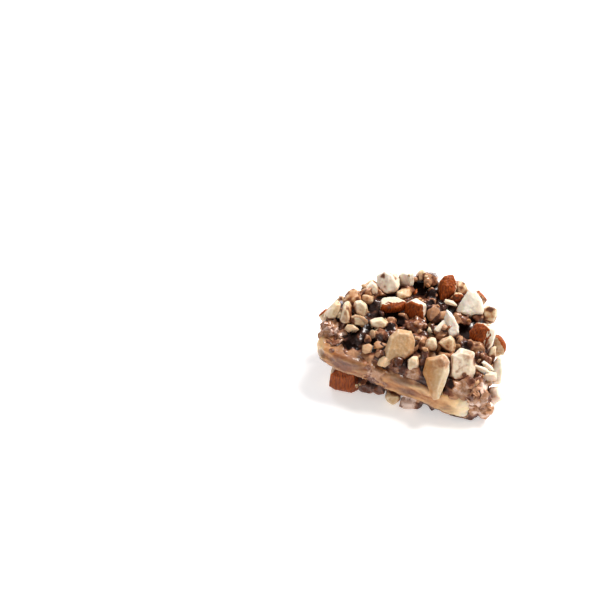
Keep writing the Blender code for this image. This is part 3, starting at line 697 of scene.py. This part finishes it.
@dataclass
class Almonds:
    """The chopped almonds. Each is its CAD solid made natural: cleft into scooped facets with
    sharp ridges, its skin ridged, and chocolate smeared up from where it is stuck."""

    voxel: float = 0.19
    swell: float = 0.16
    scoop: float = 0.14
    # How much of a piece's size a scoop is wide
    scoop_share: float = 0.3
    # How the large pieces and the others are chopped
    large: Chop = Chop(2, 0.93, 1.7)
    small: Chop = Chop(7, 0.7, 1.0)
    # How many rays tell how open a point is, and how far they go in millimetres
    rays: int = 6
    ray_reach: float = 4.0
    # Tables below are by the number in the node's name. How each skinned piece's skin faces:
    # turned about the upright, and leaned up, in degrees
    skin_ways: dict[int, tuple[float, float]] = field(default_factory=lambda: {
        11: (0, 4), 12: (-30, 15), 14: (-14, 25), 15: (0, 5), 18: (-64, 20), 28: (120, 35),
        32: (80, 35), 35: (185, 35), 38: (240, 35), 39: (-12, 0), 40: (160, 0), 44: (75, 0),
    })
    # How tan a piece is at its left and right, from -1 for white over 0 for cream to 1 for tan,
    # where that isn't left to chance. These are partly each piece's own tone and partly painted
    # light and shade: a side in shade is made more tan, and pieces in the light whiter
    tones: dict[int, tuple[float, float]] = field(default_factory=lambda: {
        1: (-0.2, 0.2), 2: (-0.3, 0.4), 3: (-0.4, 0.0), 4: (0.0, 0.3), 5: (-0.3, 0.1), 6: (0.7, 0.5),
        7: (-0.6, -0.2), 8: (-0.8, -0.4), 9: (-0.7, -0.4), 10: (-0.1, 0.9), 11: (-0.3, -0.2),
        12: (-0.3, -0.5), 16: (-0.9, -0.5), 17: (-0.8, -0.7), 18: (0.1, -0.6), 19: (0.0, 0.2),
        21: (-0.4, -0.3), 22: (1.1, -0.25), 25: (0.45, 0.65), 29: (0.7, 0.6), 30: (-0.6, -0.5),
        31: (-0.6, -0.6), 42: (0.3, 0.3),
    })
    # The large pieces, whose outlines stay whole
    whole: tuple[int, ...] = (25, 22, 21, 16)
    # The pieces that no crumbs lie against, besides the large ones
    clear: tuple[int, ...] = (14, 18, 12, 11, 8)
    # The pieces that chocolate hasn't crept up
    clean: tuple[int, ...] = (39, 22, 42)
    # How far from the chocolate a piece's stains reach, in millimetres, where that isn't left to
    # chance
    stains: dict[int, float] = field(default_factory=lambda: {
        1: 0.6, 2: 1.1, 3: 0.9, 5: 0.5, 7: 0.4, 8: 0.7, 9: 0.5, 10: 0.5, 11: 0.4, 12: 0.5, 14: 0.4,
        16: 0.4, 17: 0.5, 18: 0.6, 21: 0.6, 22: 0.35, 23: 0.5, 24: 0.8, 25: 0.4, 26: 0.3, 30: 0.2,
        31: 0.2, 39: 0.4,
    })
    # Brown marks on the flesh: place on the slab, radius and how dark
    marks: Rows = (
        (-8.2, 4.0, 5.0, 1.3, 1.0), (-20.0, 4.0, 5.5, 1.6, 0.3), (5.5, -13.1, 5.0, 2.6, 1.0),
        (3.0, -13.8, 3.0, 2.6, 1.0), (14.6, -15.8, 6.0, 1.9, 1.0), (-19.1, -2.9, 4.6, 1.6, 1.0),
        (12.0, -19.6, 4.2, 1.1, 0.9), (11.2, -20.4, 1.6, 2.6, 1.0), (5.4, -19.4, 8.0, 3.0, 0.6),
        (3.0, -20.0, 6.6, 1.8, 0.4), (12.6, -15.8, 8.3, 2.6, 0.5), (-1.0, 12.8, 3.0, 1.3, 0.7),
    )

    def build(self) -> dict[str, Body]:
        """The shape of each piece, by its CAD node's name."""
        nodes = sorted(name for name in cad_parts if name.startswith("almond"))
        return {node: self.piece(node, n) for n, node in enumerate(nodes)}

    def piece(self, node: str, number: int) -> Body:
        """One chopped almond.

        Args:
            node: Its CAD node.
            number: Its place among all pieces, which makes its grain its own.

        Returns:
            Its shape.
        """
        seed = 3.7 * number
        low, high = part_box(node)
        size = (high - low).length / MM
        scoop_width = self.scoop_share * size
        chop = self.large if nut_number(node) in self.whole else self.small
        body = Body.of_node(node)
        skin_way = self.skin_way(node)
        self.cleave(body, chop, number, skin_way)
        body.remesh(self.voxel)

        def relief(point: Vector, way: Vector) -> float:
            """Scoops and dents on flesh, and ridges on skin."""
            skin = self.skin(way, skin_way)
            chips = self.scoop * chop.depth * (facets(point, scoop_width, seed) - 0.45)
            dents = 0.08 * wave(point, 2.6, seed) + 0.05 * wave(point, 0.8, seed)
            along = Vector((point.x * 2.6, point.y * 2.6, point.z * 0.4)) / MM
            ridges = 0.15 * noise.noise(along) + 0.06 * wave(point, 1.4, seed)
            return self.swell + (1.0 - skin) * (chips + dents) + skin * ridges

        body.push(relief)
        body.write(Layer.SKIN, lambda point, way: self.skin(way, skin_way))
        body.write_edges(self.voxel)
        return body

    def cleave(self, body: Body, chop: Chop, number: int, skin_way: Vector | None) -> None:
        """Snaps corners off a piece along flat planes, as a knife does.

        Args:
            body: The piece.
            chop: How many corners, and how deep they are cut.
            number: The piece's place among all, which makes its cuts its own.
            skin_way: Where its skin faces, which is not cut away.
        """
        draw = random.Random(31 + number)
        for _ in range(chop.cuts):
            way = chance_way(draw)
            share = draw.uniform(chop.nearest, chop.farthest)
            if skin_way is not None and way.dot(skin_way) > 0.35:
                continue
            middle = sum((vert.co for vert in body.mesh.verts), Vector()) / len(body.mesh.verts)
            reach = max((vert.co - middle).dot(way) for vert in body.mesh.verts)
            body.slice(middle + way * (reach * share), way)

    def skin_way(self, node: str) -> Vector | None:
        """The direction that a piece's skin faces, or None for bare flesh."""
        if nut_number(node) not in self.skin_ways:
            return None
        turn, lean = (math.radians(angle) for angle in self.skin_ways[nut_number(node)])
        return Vector((math.sin(turn) * math.cos(lean), -math.cos(turn) * math.cos(lean), math.sin(lean)))

    def skin(self, way: Vector, skin_way: Vector | None) -> float:
        """How much of a point is skin, from the direction it faces."""
        return 0.0 if skin_way is None else smooth_step(0.25, 0.45, way.dot(skin_way))

    def dress(self, bodies: dict[str, Body], chocolate: BVHTree, around: BVHTree,
              material: bpy.types.Material) -> None:
        """Writes each piece's smears, tone and openness, and shows it.

        Args:
            bodies: The pieces' shapes, by their nodes.
            chocolate: The chocolate's surface.
            around: All surfaces of the shard.
            material: The finish.
        """
        draw = random.Random(17)
        for node, body in bodies.items():
            chance_tone, chance_reach = draw.uniform(-0.1, 0.3), draw.uniform(0.5, 1.5)
            left, right = self.tones.get(nut_number(node), (chance_tone, chance_tone))
            low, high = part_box(node)
            reach = self.stains.get(nut_number(node), chance_reach)

            def smear(point: Vector, way: Vector) -> float:
                """How brown a point is with chocolate."""
                away = chocolate.find_nearest(point)[3] / MM + 0.5 * reach * wave(point, 1.5, reach)
                spots = wave(point, 3.0, 5.0 + reach) + 0.5 * wave(point, 0.9, reach)
                patch = smooth_step(0.4, 1.1, spots) * min(0.5, 0.4 * reach)
                p = SLAB.local(point)
                marks = (dark * within(p, ball, radius, 0.4) for *ball, radius, dark in self.marks)
                return max(smooth_step(reach, 0.05, away), patch, *marks)

            def tone(point: Vector, way: Vector) -> float:
                """How tan a point is, from the piece's left to its right, partly as painted shade."""
                return left + (right - left) * smooth_step(low.x, high.x, point.x)

            body.write(Layer.TONE_AND_LIGHT, tone)
            body.write(Layer.SMEAR, smear)
            body.write_openness(around, self.rays, self.ray_reach)
            skinned = nut_number(node) in self.skin_ways
            name = node.replace("almond_skin", "skinned_nut").replace("almond_bare", "cut_nut")
            body.show(name, material, "almond_skin" if skinned else "almond_flesh", node)


@dataclass(frozen=True)
class Kind:
    """A kind of crumb."""

    # How many there are, the smallest and largest widths in millimetres, and the height for the
    # width
    count: int
    low: float
    high: float
    flat: float


@dataclass
class Chocolate:
    """The milk chocolate: the CAD coat with its lumps, drawn up round each almond, and smeared
    over the toffee's broken side."""

    voxel: float = 0.36
    # The faces of the rough copy on which the covered crumbs sit
    seat_voxel: float = 0.9
    # The small chopped nuts that it has covered
    covered: Kind = Kind(170, 1.6, 3.4, 0.8)
    # How far it stands out of a nut that it has crept up and of the slab, and how deep it is
    # kept inside them where they are bare
    collar: float = 0.26
    inside_nut: float = 0.65
    smear: float = 0.26
    inside_slab: float = 0.7
    # How high up a nut it has crept
    waterline: float = 2.7
    # A coat of the CAD nearer to the slab than this is met by chocolate that stands out this far
    thin_coat: float = 0.55
    bridge: float = 0.42
    # How far crumbs keep off the large pieces and the slab, and above the floor
    crumb_gap: float = 2.0
    slab_gap: float = 1.0
    crumb_floor: float = 3.0
    # How much of the light a hollow takes away, how many rays tell how open a point is, and how
    # far they go
    hollow_shade: float = 0.75
    rays: int = 9
    ray_reach: float = 5.0
    # Places on the slab, their radius in millimetres and how thin the coat is there, so that it
    # is paler, with a painted pale sheen where the value is above about 1: on the shaggy smear and
    # ledge at the left, in front of the large pieces, at the right corner, on the toffee's side and
    # on the lump under the edge
    thin_and_sheen_spots: Rows = (
        (-24.6, -4.6, 2.0, 4.4, 1.45), (-17.0, -11.0, 0.5, 4.2, 1.0), (-13.0, -14.0, 0.0, 3.0, 0.9),
        (-12.0, -16.4, -2.4, 3.4, 1.1), (11.4, -22.4, 1.6, 4.2, 1.2), (17.6, -24.8, -2.2, 5.0, 1.6),
        (1.3, -12.2, 2.5, 2.4, 0.9), (-1.2, -20.4, -7.5, 3.8, 1.5), (18.4, -21.4, 1.4, 3.4, 1.4),
        (-1.6, -17.6, 0.4, 3.4, 1.2), (7.0, 6.4, 4.0, 3.2, 1.35), (-16.0, -5.2, 2.6, 1.9, 1.0),
        (19.7, -20.4, 0.6, 2.6, 2.0), (-7.0, -17.0, 1.0, 2.8, 0.45),
    )
    # Hollows where the chocolate is smooth, painted dark with shade and bare of crumbs: place, radius and
    # depth
    hollows: Rows = (
        (-18.4, -8.0, 2.0, 3.4, 0.8), (4.8, 14.0, 4.0, 2.8, 0.3), (14.3, 0.4, 2.0, 3.4, 0.9),
        (-16.2, -6.6, 2.4, 2.0, 0.4), (14.4, -7.9, 5.0, 2.8, 0.3), (4.5, 9.0, 4.0, 2.6, 0.3),
        (8.4, -21.6, 2.0, 1.4, 0.2), (17.0, -24.1, 1.5, 1.8, 0.1), (15.6, -24.2, -3.2, 1.8, 0.1),
        (1.7, -22.1, 1.5, 2.2, 0.1), (-8.0, -3.6, 5.0, 2.2, 0.2),
        (-5.9, 3.9, 2.0, 2.6, 0.6), (-13.1, 7.9, 2.0, 2.4, 0.5), (1.6, 18.0, 2.0, 3.0, 0.6),
        (-5.2, 1.4, 2.4, 2.8, 0.7), (2.8, 6.2, 5.0, 2.0, 0.4), (14.4, -4.0, 3.2, 2.4, 0.3),
        (-11.9, 2.9, 3.2, 3.0, 0.5),
    )
    # Where shaggy flakes lie, at the left and at the right corner: place and radius
    shaggy: tuple[float, ...] = (-24.8, -4.8, 1.8, 4.3)
    rough_corner: tuple[float, ...] = (17.6, -25.0, -0.5, 4.2)

    def build(self, toffee: Body, almonds: dict[str, Body], clean: tuple[int, ...], whole: BVHTree,
              crumbs: "Crumbs") -> Body:
        """The chocolate's shape.

        Args:
            toffee: The slab.
            almonds: The chopped almonds.
            clean: The numbers of the almonds that it hasn't crept up.
            whole: The large pieces' surface, which crumbs keep off.
            crumbs: The source of the small chopped nuts that it has covered.

        Returns:
            One closed body round the slab's top, base and rim.
        """
        slab = toffee.tree()
        body = Body.of_node("chocolate")
        seats = body.copy()
        seats.remesh(self.seat_voxel)
        body.join(crumbs.strew(self.perches(seats, toffee, whole), self.covered))
        seats.mesh.free()
        for number, (node, nut) in enumerate(almonds.items()):
            if nut_number(node) not in clean:
                body.join(self.collar_round(nut, slab, number))
        film = toffee.copy()
        under_coat = Body.of_node("chocolate").tree()

        def film_height(point: Vector, way: Vector) -> float:
            """How far the film stands out, with more where it meets the coat."""
            covered = under_coat.find_nearest(point)[3] < self.thin_coat * MM
            return self.bridge if covered else self.film_height(point, way)

        film.push(film_height)
        body.join(film)
        body.remesh(self.voxel)
        body.soften(1)
        body.push(lambda point, way: self.relief(point, way) - self.sunk(point, crumbs.own))
        body.soften(1, 0.25)
        return body

    def in_hollows(self, point: Vector) -> list[tuple[float, float]]:
        """How far into each hollow a point is, from 0 to 1, and how deep the hollow is."""
        p = SLAB.local(point)
        ragged = 0.9 * wave(point, 1.6, 5.0)
        return [(within(p, ball, radius, off=ragged), depth) for *ball, radius, depth in self.hollows]

    def sunk(self, point: Vector, chips: Rows) -> float:
        """How much lower the chocolate is in its hollows, and where bare chips lie."""
        p = SLAB.local(point)
        low = sum(share * depth for share, depth in self.in_hollows(point))
        for x, y, z, length, *_ in chips:
            low += 0.7 * smooth_step(0.75 * length, 0.3 * length, (p - Vector((x, y, z))).length)
        return low

    def collar_round(self, nut: Body, slab: BVHTree, number: int) -> Body:
        """Chocolate that has crept up a nut: just outside the nut below, and inside it above."""
        collar = nut.copy()
        level = self.waterline + 0.6 * math.sin(2.4 * number)

        def height(point: Vector, way: Vector) -> float:
            """How far a point of the collar stands out of the nut."""
            _, face_way, _, away = slab.find_nearest(point)
            on_break = smooth_step(0.3, 0.55, face_way.dot(SLAB.break_way))
            line = level + 1.0 * wave(point, 2.0, 1.3 * number) + 0.6 * wave(point, 0.8, number)
            cover = smooth_step(line + 0.3, line - 0.3, away / MM) * (1.0 - on_break)
            return self.collar * cover - self.inside_nut * (1.0 - cover)

        collar.push(height)
        return collar

    def film_height(self, point: Vector, way: Vector) -> float:
        """How far the chocolate stands out of the slab. It is inside the slab where that is bare."""
        p = SLAB.local(point)
        drips = smooth_step(-0.4, 0.5, p.z + 1.6 * wave(point, 3.0, 2.0) - 0.2)
        spot = math.exp(-((p.x + 12.0) ** 2 + 0.4 * (p.z + 3.0) ** 2) / 9.0) + 0.5 * wave(point, 1.8, 4.0)
        ledge = smooth_step(0.5, 0.85, way.z) * smooth_step(0.1, 0.5, wave(point, 2.6, 6.0))
        under = smooth_step(-0.3, -0.7, way.z)
        drips *= smooth_step(0.2, 0.9, wave(point, 4.0, 11.0) + 0.3)
        cover = max(drips, smooth_step(0.35, 0.6, spot), ledge, under)
        return self.smear * cover - self.inside_slab * (1.0 - cover)

    def relief(self, point: Vector, way: Vector) -> float:
        """Wrinkles and facets of chocolate over chopped nuts, and the shaggy smear's crinkles."""
        *ball, radius = self.shaggy
        shag = within(SLAB.local(point), ball, radius, 0.4)
        lumps = 0.16 * (facets(point, 1.9, 3.0) - 0.45) + 0.12 * (facets(point, 0.9, 6.0) - 0.45)
        crinkle = 0.9 * (facets(Vector((point.x * 0.45, point.y, point.z * 1.3)), 0.9, 1.0) - 0.95)
        return (1.0 - 0.4 * shag) * lumps + 0.12 * wave(point, 1.7, 3.0) + shag * crinkle

    def perches(self, body: Body, toffee: Body, whole: BVHTree) -> Places:
        """Where crumbs may lie.

        Args:
            body: The chocolate.
            toffee: The slab, whose break stays bare.
            whole: The large pieces' surface, which crumbs keep off.

        Returns:
            Points of the chocolate and the ways that they face.
        """
        slab = toffee.tree()
        body.mesh.normal_update()
        found = []
        for vert in body.mesh.verts:
            _, face_way, _, away = slab.find_nearest(vert.co)
            smooth = in_any(SLAB.local(vert.co), (*self.hollows, *self.thin_and_sheen_spots))
            crowded = whole.find_nearest(vert.co)[3] < self.crumb_gap * MM
            on_break = away < self.slab_gap * MM or face_way.dot(SLAB.break_way) > 0.4
            if not (smooth or crowded or on_break or vert.co.z < self.crumb_floor * MM):
                found.append((vert.co.copy(), vert.normal.copy()))
        return found

    def shaggy_places(self, body: Body) -> Places:
        """The points, and the ways they face, of the chocolate's shaggy smears."""
        body.mesh.normal_update()
        return [
            (vert.co.copy(), vert.normal.copy()) for vert in body.mesh.verts
            if vert.normal.z > -0.2 and in_any(SLAB.local(vert.co), (self.shaggy, self.rough_corner))
        ]

    def dress(self, body: Body, toffee: Body, around: BVHTree, material: bpy.types.Material) -> None:
        """Writes how thin the chocolate is and how open its surface, and shows it.

        Args:
            body: The chocolate.
            toffee: The slab.
            around: All surfaces of the shard.
            material: The finish.
        """
        slab = toffee.tree()

        def film(point: Vector, way: Vector) -> float:
            """How thin, and so how pale, the chocolate is: lower in hollows, for painted shade,
            and high enough in the thinnest spots for a painted sheen.
            """
            _, face_way, _, away = slab.find_nearest(point)
            on_break = smooth_step(0.35, 0.6, face_way.dot(SLAB.break_way))
            on_break *= smooth_step(0.7, 0.4, away / MM)
            thin = max(0.6 * smooth_step(2.2, 4.0, away / MM), 0.7 * on_break)
            p = SLAB.local(point)
            for *ball, radius, thinness in self.thin_and_sheen_spots:
                thin += within(p, ball, radius) * (thinness - thin)
            return thin - max(share for share, _ in self.in_hollows(point))

        def in_light(point: Vector, way: Vector) -> float:
            """How much of its light a point keeps."""
            return 1.0 - self.hollow_shade * max(share for share, _ in self.in_hollows(point))

        body.write(Layer.FILM, film)
        body.write_openness(around, self.rays, self.ray_reach, in_light)
        body.write_edges(self.voxel)
        body.show("chocolate_coat", material, "milk_chocolate", "chocolate")


@dataclass
class Crumbs:
    """What stuck to the chocolate as it set: chips of almond flesh, flecks of almond skin,
    crumbs of toffee and shaggy flakes of chocolate, each kind one piece."""

    flesh: Kind = Kind(190, 0.9, 2.8, 0.6)
    skin: Kind = Kind(40, 0.6, 1.9, 0.4)
    toffee: Kind = Kind(60, 0.6, 1.7, 0.8)
    flakes: Kind = Kind(75, 1.2, 2.6, 0.3)
    seed: int = 23
    # The power by which small crumbs are more common than large ones, how much longer than wide
    # one may be, and how askew it lies
    rarity: float = 2.2
    longest: float = 1.9
    askew: float = 0.4
    # From how cream to how tan a crumb may be, and from how clean to how smeared
    tones: tuple[float, float] = (-0.1, 0.9)
    stains: tuple[float, float] = (0.1, 0.7)
    # How many cuts shape a chip, and how wide its bevels are
    cuts: int = 5
    bevel: float = 0.05
    # Chips with places of their own on the slab: place, size, how far each is turned and rolled
    # in degrees, and how tan and how smeared it is
    own: Rows = (
        (-14.6, -11.6, 2.6, 4.2, 2.6, 2.0, 15, 25, 0.5, 0.3),
        (-10.8, -9.4, 2.8, 4.4, 2.8, 2.2, 40, 10, 0.8, 0.5),
        (-18.8, -4.6, 3.0, 4.0, 2.8, 2.4, -20, -20, 0.2, 0.3),
        (17.2, -16.0, 3.9, 5.4, 1.8, 2.0, -35, 45, -0.5, 0.1),
        (6.9, -1.5, 5.0, 5.4, 3.4, 3.0, 30, 30, -0.5, 0.1),
        (9.7, 8.8, 5.3, 4.4, 1.8, 1.6, -20, 30, -0.3, 0.1),
        (19.4, -14.4, 3.4, 4.8, 1.5, 1.6, -50, 20, -0.6, 0.1),
        (-8.0, -13.0, 3.2, 3.0, 2.0, 1.8, 70, 0, 0.6, 0.5),
        (3.6, -8.2, 4.2, 3.4, 2.0, 2.2, 40, -20, 0.3, 0.4),
        (19.6, -17.6, 2.6, 4.6, 3.2, 3.0, 20, -30, -0.5, 0.3),
        (7.2, 4.3, 4.6, 3.8, 3.0, 2.8, 20, 10, 0.4, 0.5),
        (-9.6, -15.4, 2.2, 5.0, 3.0, 2.2, 35, 15, 0.35, 0.1),
        (-22.0, 0.2, 3.6, 3.2, 2.6, 2.4, 60, 10, 0.1, 0.2),
    )

    def chip(self, draw: random.Random) -> Body:
        """A chip about one millimetre across, its corners cut off.

        Args:
            draw: The source of chance.

        Returns:
            Its shape, round the origin.
        """
        mesh = bmesh.new()
        bmesh.ops.create_icosphere(mesh, subdivisions=1, radius=0.6 * MM)
        chip = Body(mesh)
        for _ in range(self.cuts):
            way = chance_way(draw)
            chip.slice(way * (draw.uniform(0.2, 0.44) * MM), way)
        bmesh.ops.bevel(
            mesh, geom=mesh.edges[:], offset=self.bevel * MM, offset_type="OFFSET", segments=1,
            profile=0.5, affect="EDGES", material=-1, clamp_overlap=True,
        )
        bmesh.ops.recalc_face_normals(mesh, faces=mesh.faces[:])
        return chip

    def lay(self, pile: Body, draw: random.Random, move: Matrix, size: Vector, tone: float,
            stain: float) -> None:
        """Adds one chip to a pile.

        Args:
            pile: Where it goes.
            draw: The source of chance.
            move: Where it is and how it is turned.
            size: Its length, width and height, in millimetres.
            tone: How tan it is.
            stain: How much chocolate is smeared on it.
        """
        chip = self.chip(draw)
        sized = move @ Matrix.Diagonal((*size, 1.0))
        bmesh.ops.transform(chip.mesh, matrix=sized, verts=chip.mesh.verts[:])
        for layer, value in ((Layer.TONE_AND_LIGHT, tone), (Layer.SMEAR, stain), (Layer.EDGE, 0.6), (Layer.OPEN, 0.8)):
            chip.write(layer, lambda point, way: value)
        pile.join(chip)

    def strew(self, perches: Places, kind: Kind) -> Body:
        """A pile of one kind of crumb.

        Args:
            perches: Where crumbs may lie.
            kind: How many there are, and their sizes.

        Returns:
            All of them.
        """
        draw = random.Random(self.seed + kind.count)
        pile = Body(bmesh.new())
        for _ in range(kind.count):
            place, way = draw.choice(perches)
            width = kind.low + (kind.high - kind.low) * draw.random() ** self.rarity
            size = Vector((width * draw.uniform(1.0, self.longest), width, width * kind.flat))
            tilt = Vector([draw.gauss(0, self.askew) for _ in range(3)])
            turn = (way + tilt).to_track_quat("Z", "Y").to_matrix().to_4x4()
            turn = turn @ Matrix.Rotation(draw.uniform(0.0, math.tau), 4, "Z")
            move = Matrix.Translation(place + way * (0.05 * width * MM)) @ turn
            tone, stain = draw.uniform(*self.tones), draw.uniform(*self.stains)
            self.lay(pile, draw, move, size, tone, stain)
        return pile

    def build(self, perches: Places, shaggy: Places, almond: bpy.types.Material,
              chocolate: bpy.types.Material, toffee: bpy.types.Material) -> None:
        """Strews and shows all four kinds.

        Args:
            perches: Where crumbs may lie.
            shaggy: Where flakes of chocolate may lie.
            almond: The almonds' finish.
            chocolate: The chocolate's finish.
            toffee: The toffee's finish.
        """
        chips = self.strew(perches, self.flesh)
        draw = random.Random(5)
        for x, y, z, length, width, height, turn, roll, tone, stain in self.own:
            move = SLAB.matrix() @ Matrix.Translation(Vector((x, y, z)) * MM)
            move = move @ Matrix.Rotation(math.radians(turn), 4, "Z")
            move = move @ Matrix.Rotation(math.radians(roll), 4, "X")
            self.lay(chips, draw, move, Vector((length, width, height)), tone, stain)
        chips.show("almond_chips", almond, "almond_flesh")
        flecks = self.strew(perches, self.skin)
        flecks.write(Layer.SKIN, lambda point, way: 1.0)
        flecks.show("skin_flecks", almond, "almond_skin")
        self.strew(perches, self.toffee).show("toffee_crumbs", toffee, "butter_toffee")
        flakes = self.strew(shaggy, self.flakes)
        # Film above about 1 gives the flakes the chocolate's painted pale sheen
        flakes.write(Layer.FILM, lambda point, way: 1.0 + 0.55 * wave(point, 1.5, 2.0))
        flakes.show("chocolate_flakes", chocolate, "milk_chocolate")


def crowd(*bodies: Body) -> BVHTree:
    """One tree of several bodies' surfaces."""
    whole = Body(bmesh.new())
    for body in bodies:
        whole.join(body.copy())
    tree = whole.tree()
    whole.mesh.free()
    return tree


@dataclass(frozen=True)
class FloorFinish:
    """White board, lit a little from below."""

    white: Colour = (0.87, 0.865, 0.86)
    grey: Colour = (0.8, 0.8, 0.81)
    glow: float = 0.46

    def material(self) -> bpy.types.Material:
        """The finish as a material."""
        sheet = Sheet("white_board", Emission_Color=(1.0, 0.985, 0.97, 1.0), Emission_Strength=self.glow)
        where = sheet.place()
        grain = sheet.clouds(1.5, where, 4.0)
        colour = sheet.mix(grain * 0.02, self.white, self.grey)
        return sheet.finish(colour, 0.8 + 0.05 * grain, grain, 0.02)


@dataclass(frozen=True)
class Lamp:
    """A soft square light, aimed at the shard. Its place and width are in metres."""

    name: str
    place: Colour
    width: float
    watts: float
    colour: Colour


@dataclass
class Studio:
    """The floor, the soft daylight and the camera."""

    floor_width: float = 3.0
    # A pale sky, a window behind on the right, a low cool light behind on the left, and a weak
    # fill from the front left
    sky: Colour = (1.0, 0.99, 0.97)
    sky_strength: float = 0.33
    lamps: tuple[Lamp, ...] = (
        Lamp("window", (0.36, 0.28, 0.64), 0.36, 10.0, (1.0, 0.98, 0.95)),
        Lamp("cool_back", (-0.20, 0.62, 0.28), 0.26, 1.6, (0.84, 0.84, 1.0)),
        Lamp("fill", (-0.40, -0.60, 0.45), 0.40, 0.8, (1.0, 0.98, 0.96)),
    )
    # The camera, in millimetres: it looks down at this elevation, along +Y
    elevation: float = math.radians(38.0)
    camera_place: Colour = (-32.022, -369.6, 311.98)
    lens: float = 100.0
    sensor: float = 36.0

    def build(self) -> None:
        """Sets everything up."""
        self.lay_floor()
        self.hang_lights()
        self.set_camera()

    def lay_floor(self) -> None:
        """A wide plane on which the shard lies."""
        mesh = bmesh.new()
        bmesh.ops.create_grid(mesh, x_segments=8, y_segments=8, size=self.floor_width / 2)
        data = bpy.data.meshes.new("floor")
        mesh.to_mesh(data)
        mesh.free()
        data.materials.append(FloorFinish().material())
        floor = put("floor", data)

    def hang_lights(self) -> None:
        """The sky and the lamps."""
        world = bpy.data.worlds.new("sky")
        world.use_nodes = True
        sky = world.node_tree.nodes["Background"]
        sky.inputs["Color"].default_value = (*self.sky, 1.0)
        sky.inputs["Strength"].default_value = self.sky_strength
        bpy.context.scene.world = world
        for lamp in self.lamps:
            data = bpy.data.lights.new(lamp.name, "AREA")
            data.size, data.energy, data.color = lamp.width, lamp.watts, lamp.colour
            thing = put(lamp.name, data)
            thing.location = lamp.place
            thing.rotation_euler = (-Vector(lamp.place)).to_track_quat("-Z", "Y").to_euler()
        bpy.context.scene.view_settings.view_transform = "Standard"

    def set_camera(self) -> None:
        """The photograph's view."""
        data = bpy.data.cameras.new("camera")
        data.lens = self.lens
        data.sensor_width = self.sensor
        data.clip_start = 0.01
        camera = put("camera", data)
        camera.location = Vector(self.camera_place) * MM
        camera.rotation_euler = (math.pi / 2 - self.elevation, 0.0, 0.0)
        bpy.context.scene.camera = camera


def main() -> None:
    """Builds and dresses the pieces in order."""
    logging.basicConfig(level=logging.INFO, format="%(message)s")
    finishes = AlmondFinish(), ChocolateFinish(), ToffeeFinish()
    almond, brown, amber = (finish.material() for finish in finishes)
    toffee = Toffee().build()
    chopped = Almonds()
    nuts = chopped.build()
    chocolate, crumbs = Chocolate(), Crumbs()
    numbered = {nut_number(node): nut for node, nut in nuts.items()}
    whole = crowd(*(numbered[number] for number in (*chopped.whole, *chopped.clear)))
    coat = chocolate.build(toffee, nuts, chopped.clean, whole, crumbs)
    perches, shaggy = chocolate.perches(coat, toffee, whole), chocolate.shaggy_places(coat)
    surface, around = coat.tree(), crowd(coat, toffee, *nuts.values())
    chocolate.dress(coat, toffee, around, brown)
    chopped.dress(nuts, surface, around, almond)
    toffee.show("toffee_slab", amber, "butter_toffee", "toffee")
    crumbs.build(perches, shaggy, almond, brown, amber)
    Studio().build()


if __name__ == "__main__":
    main()
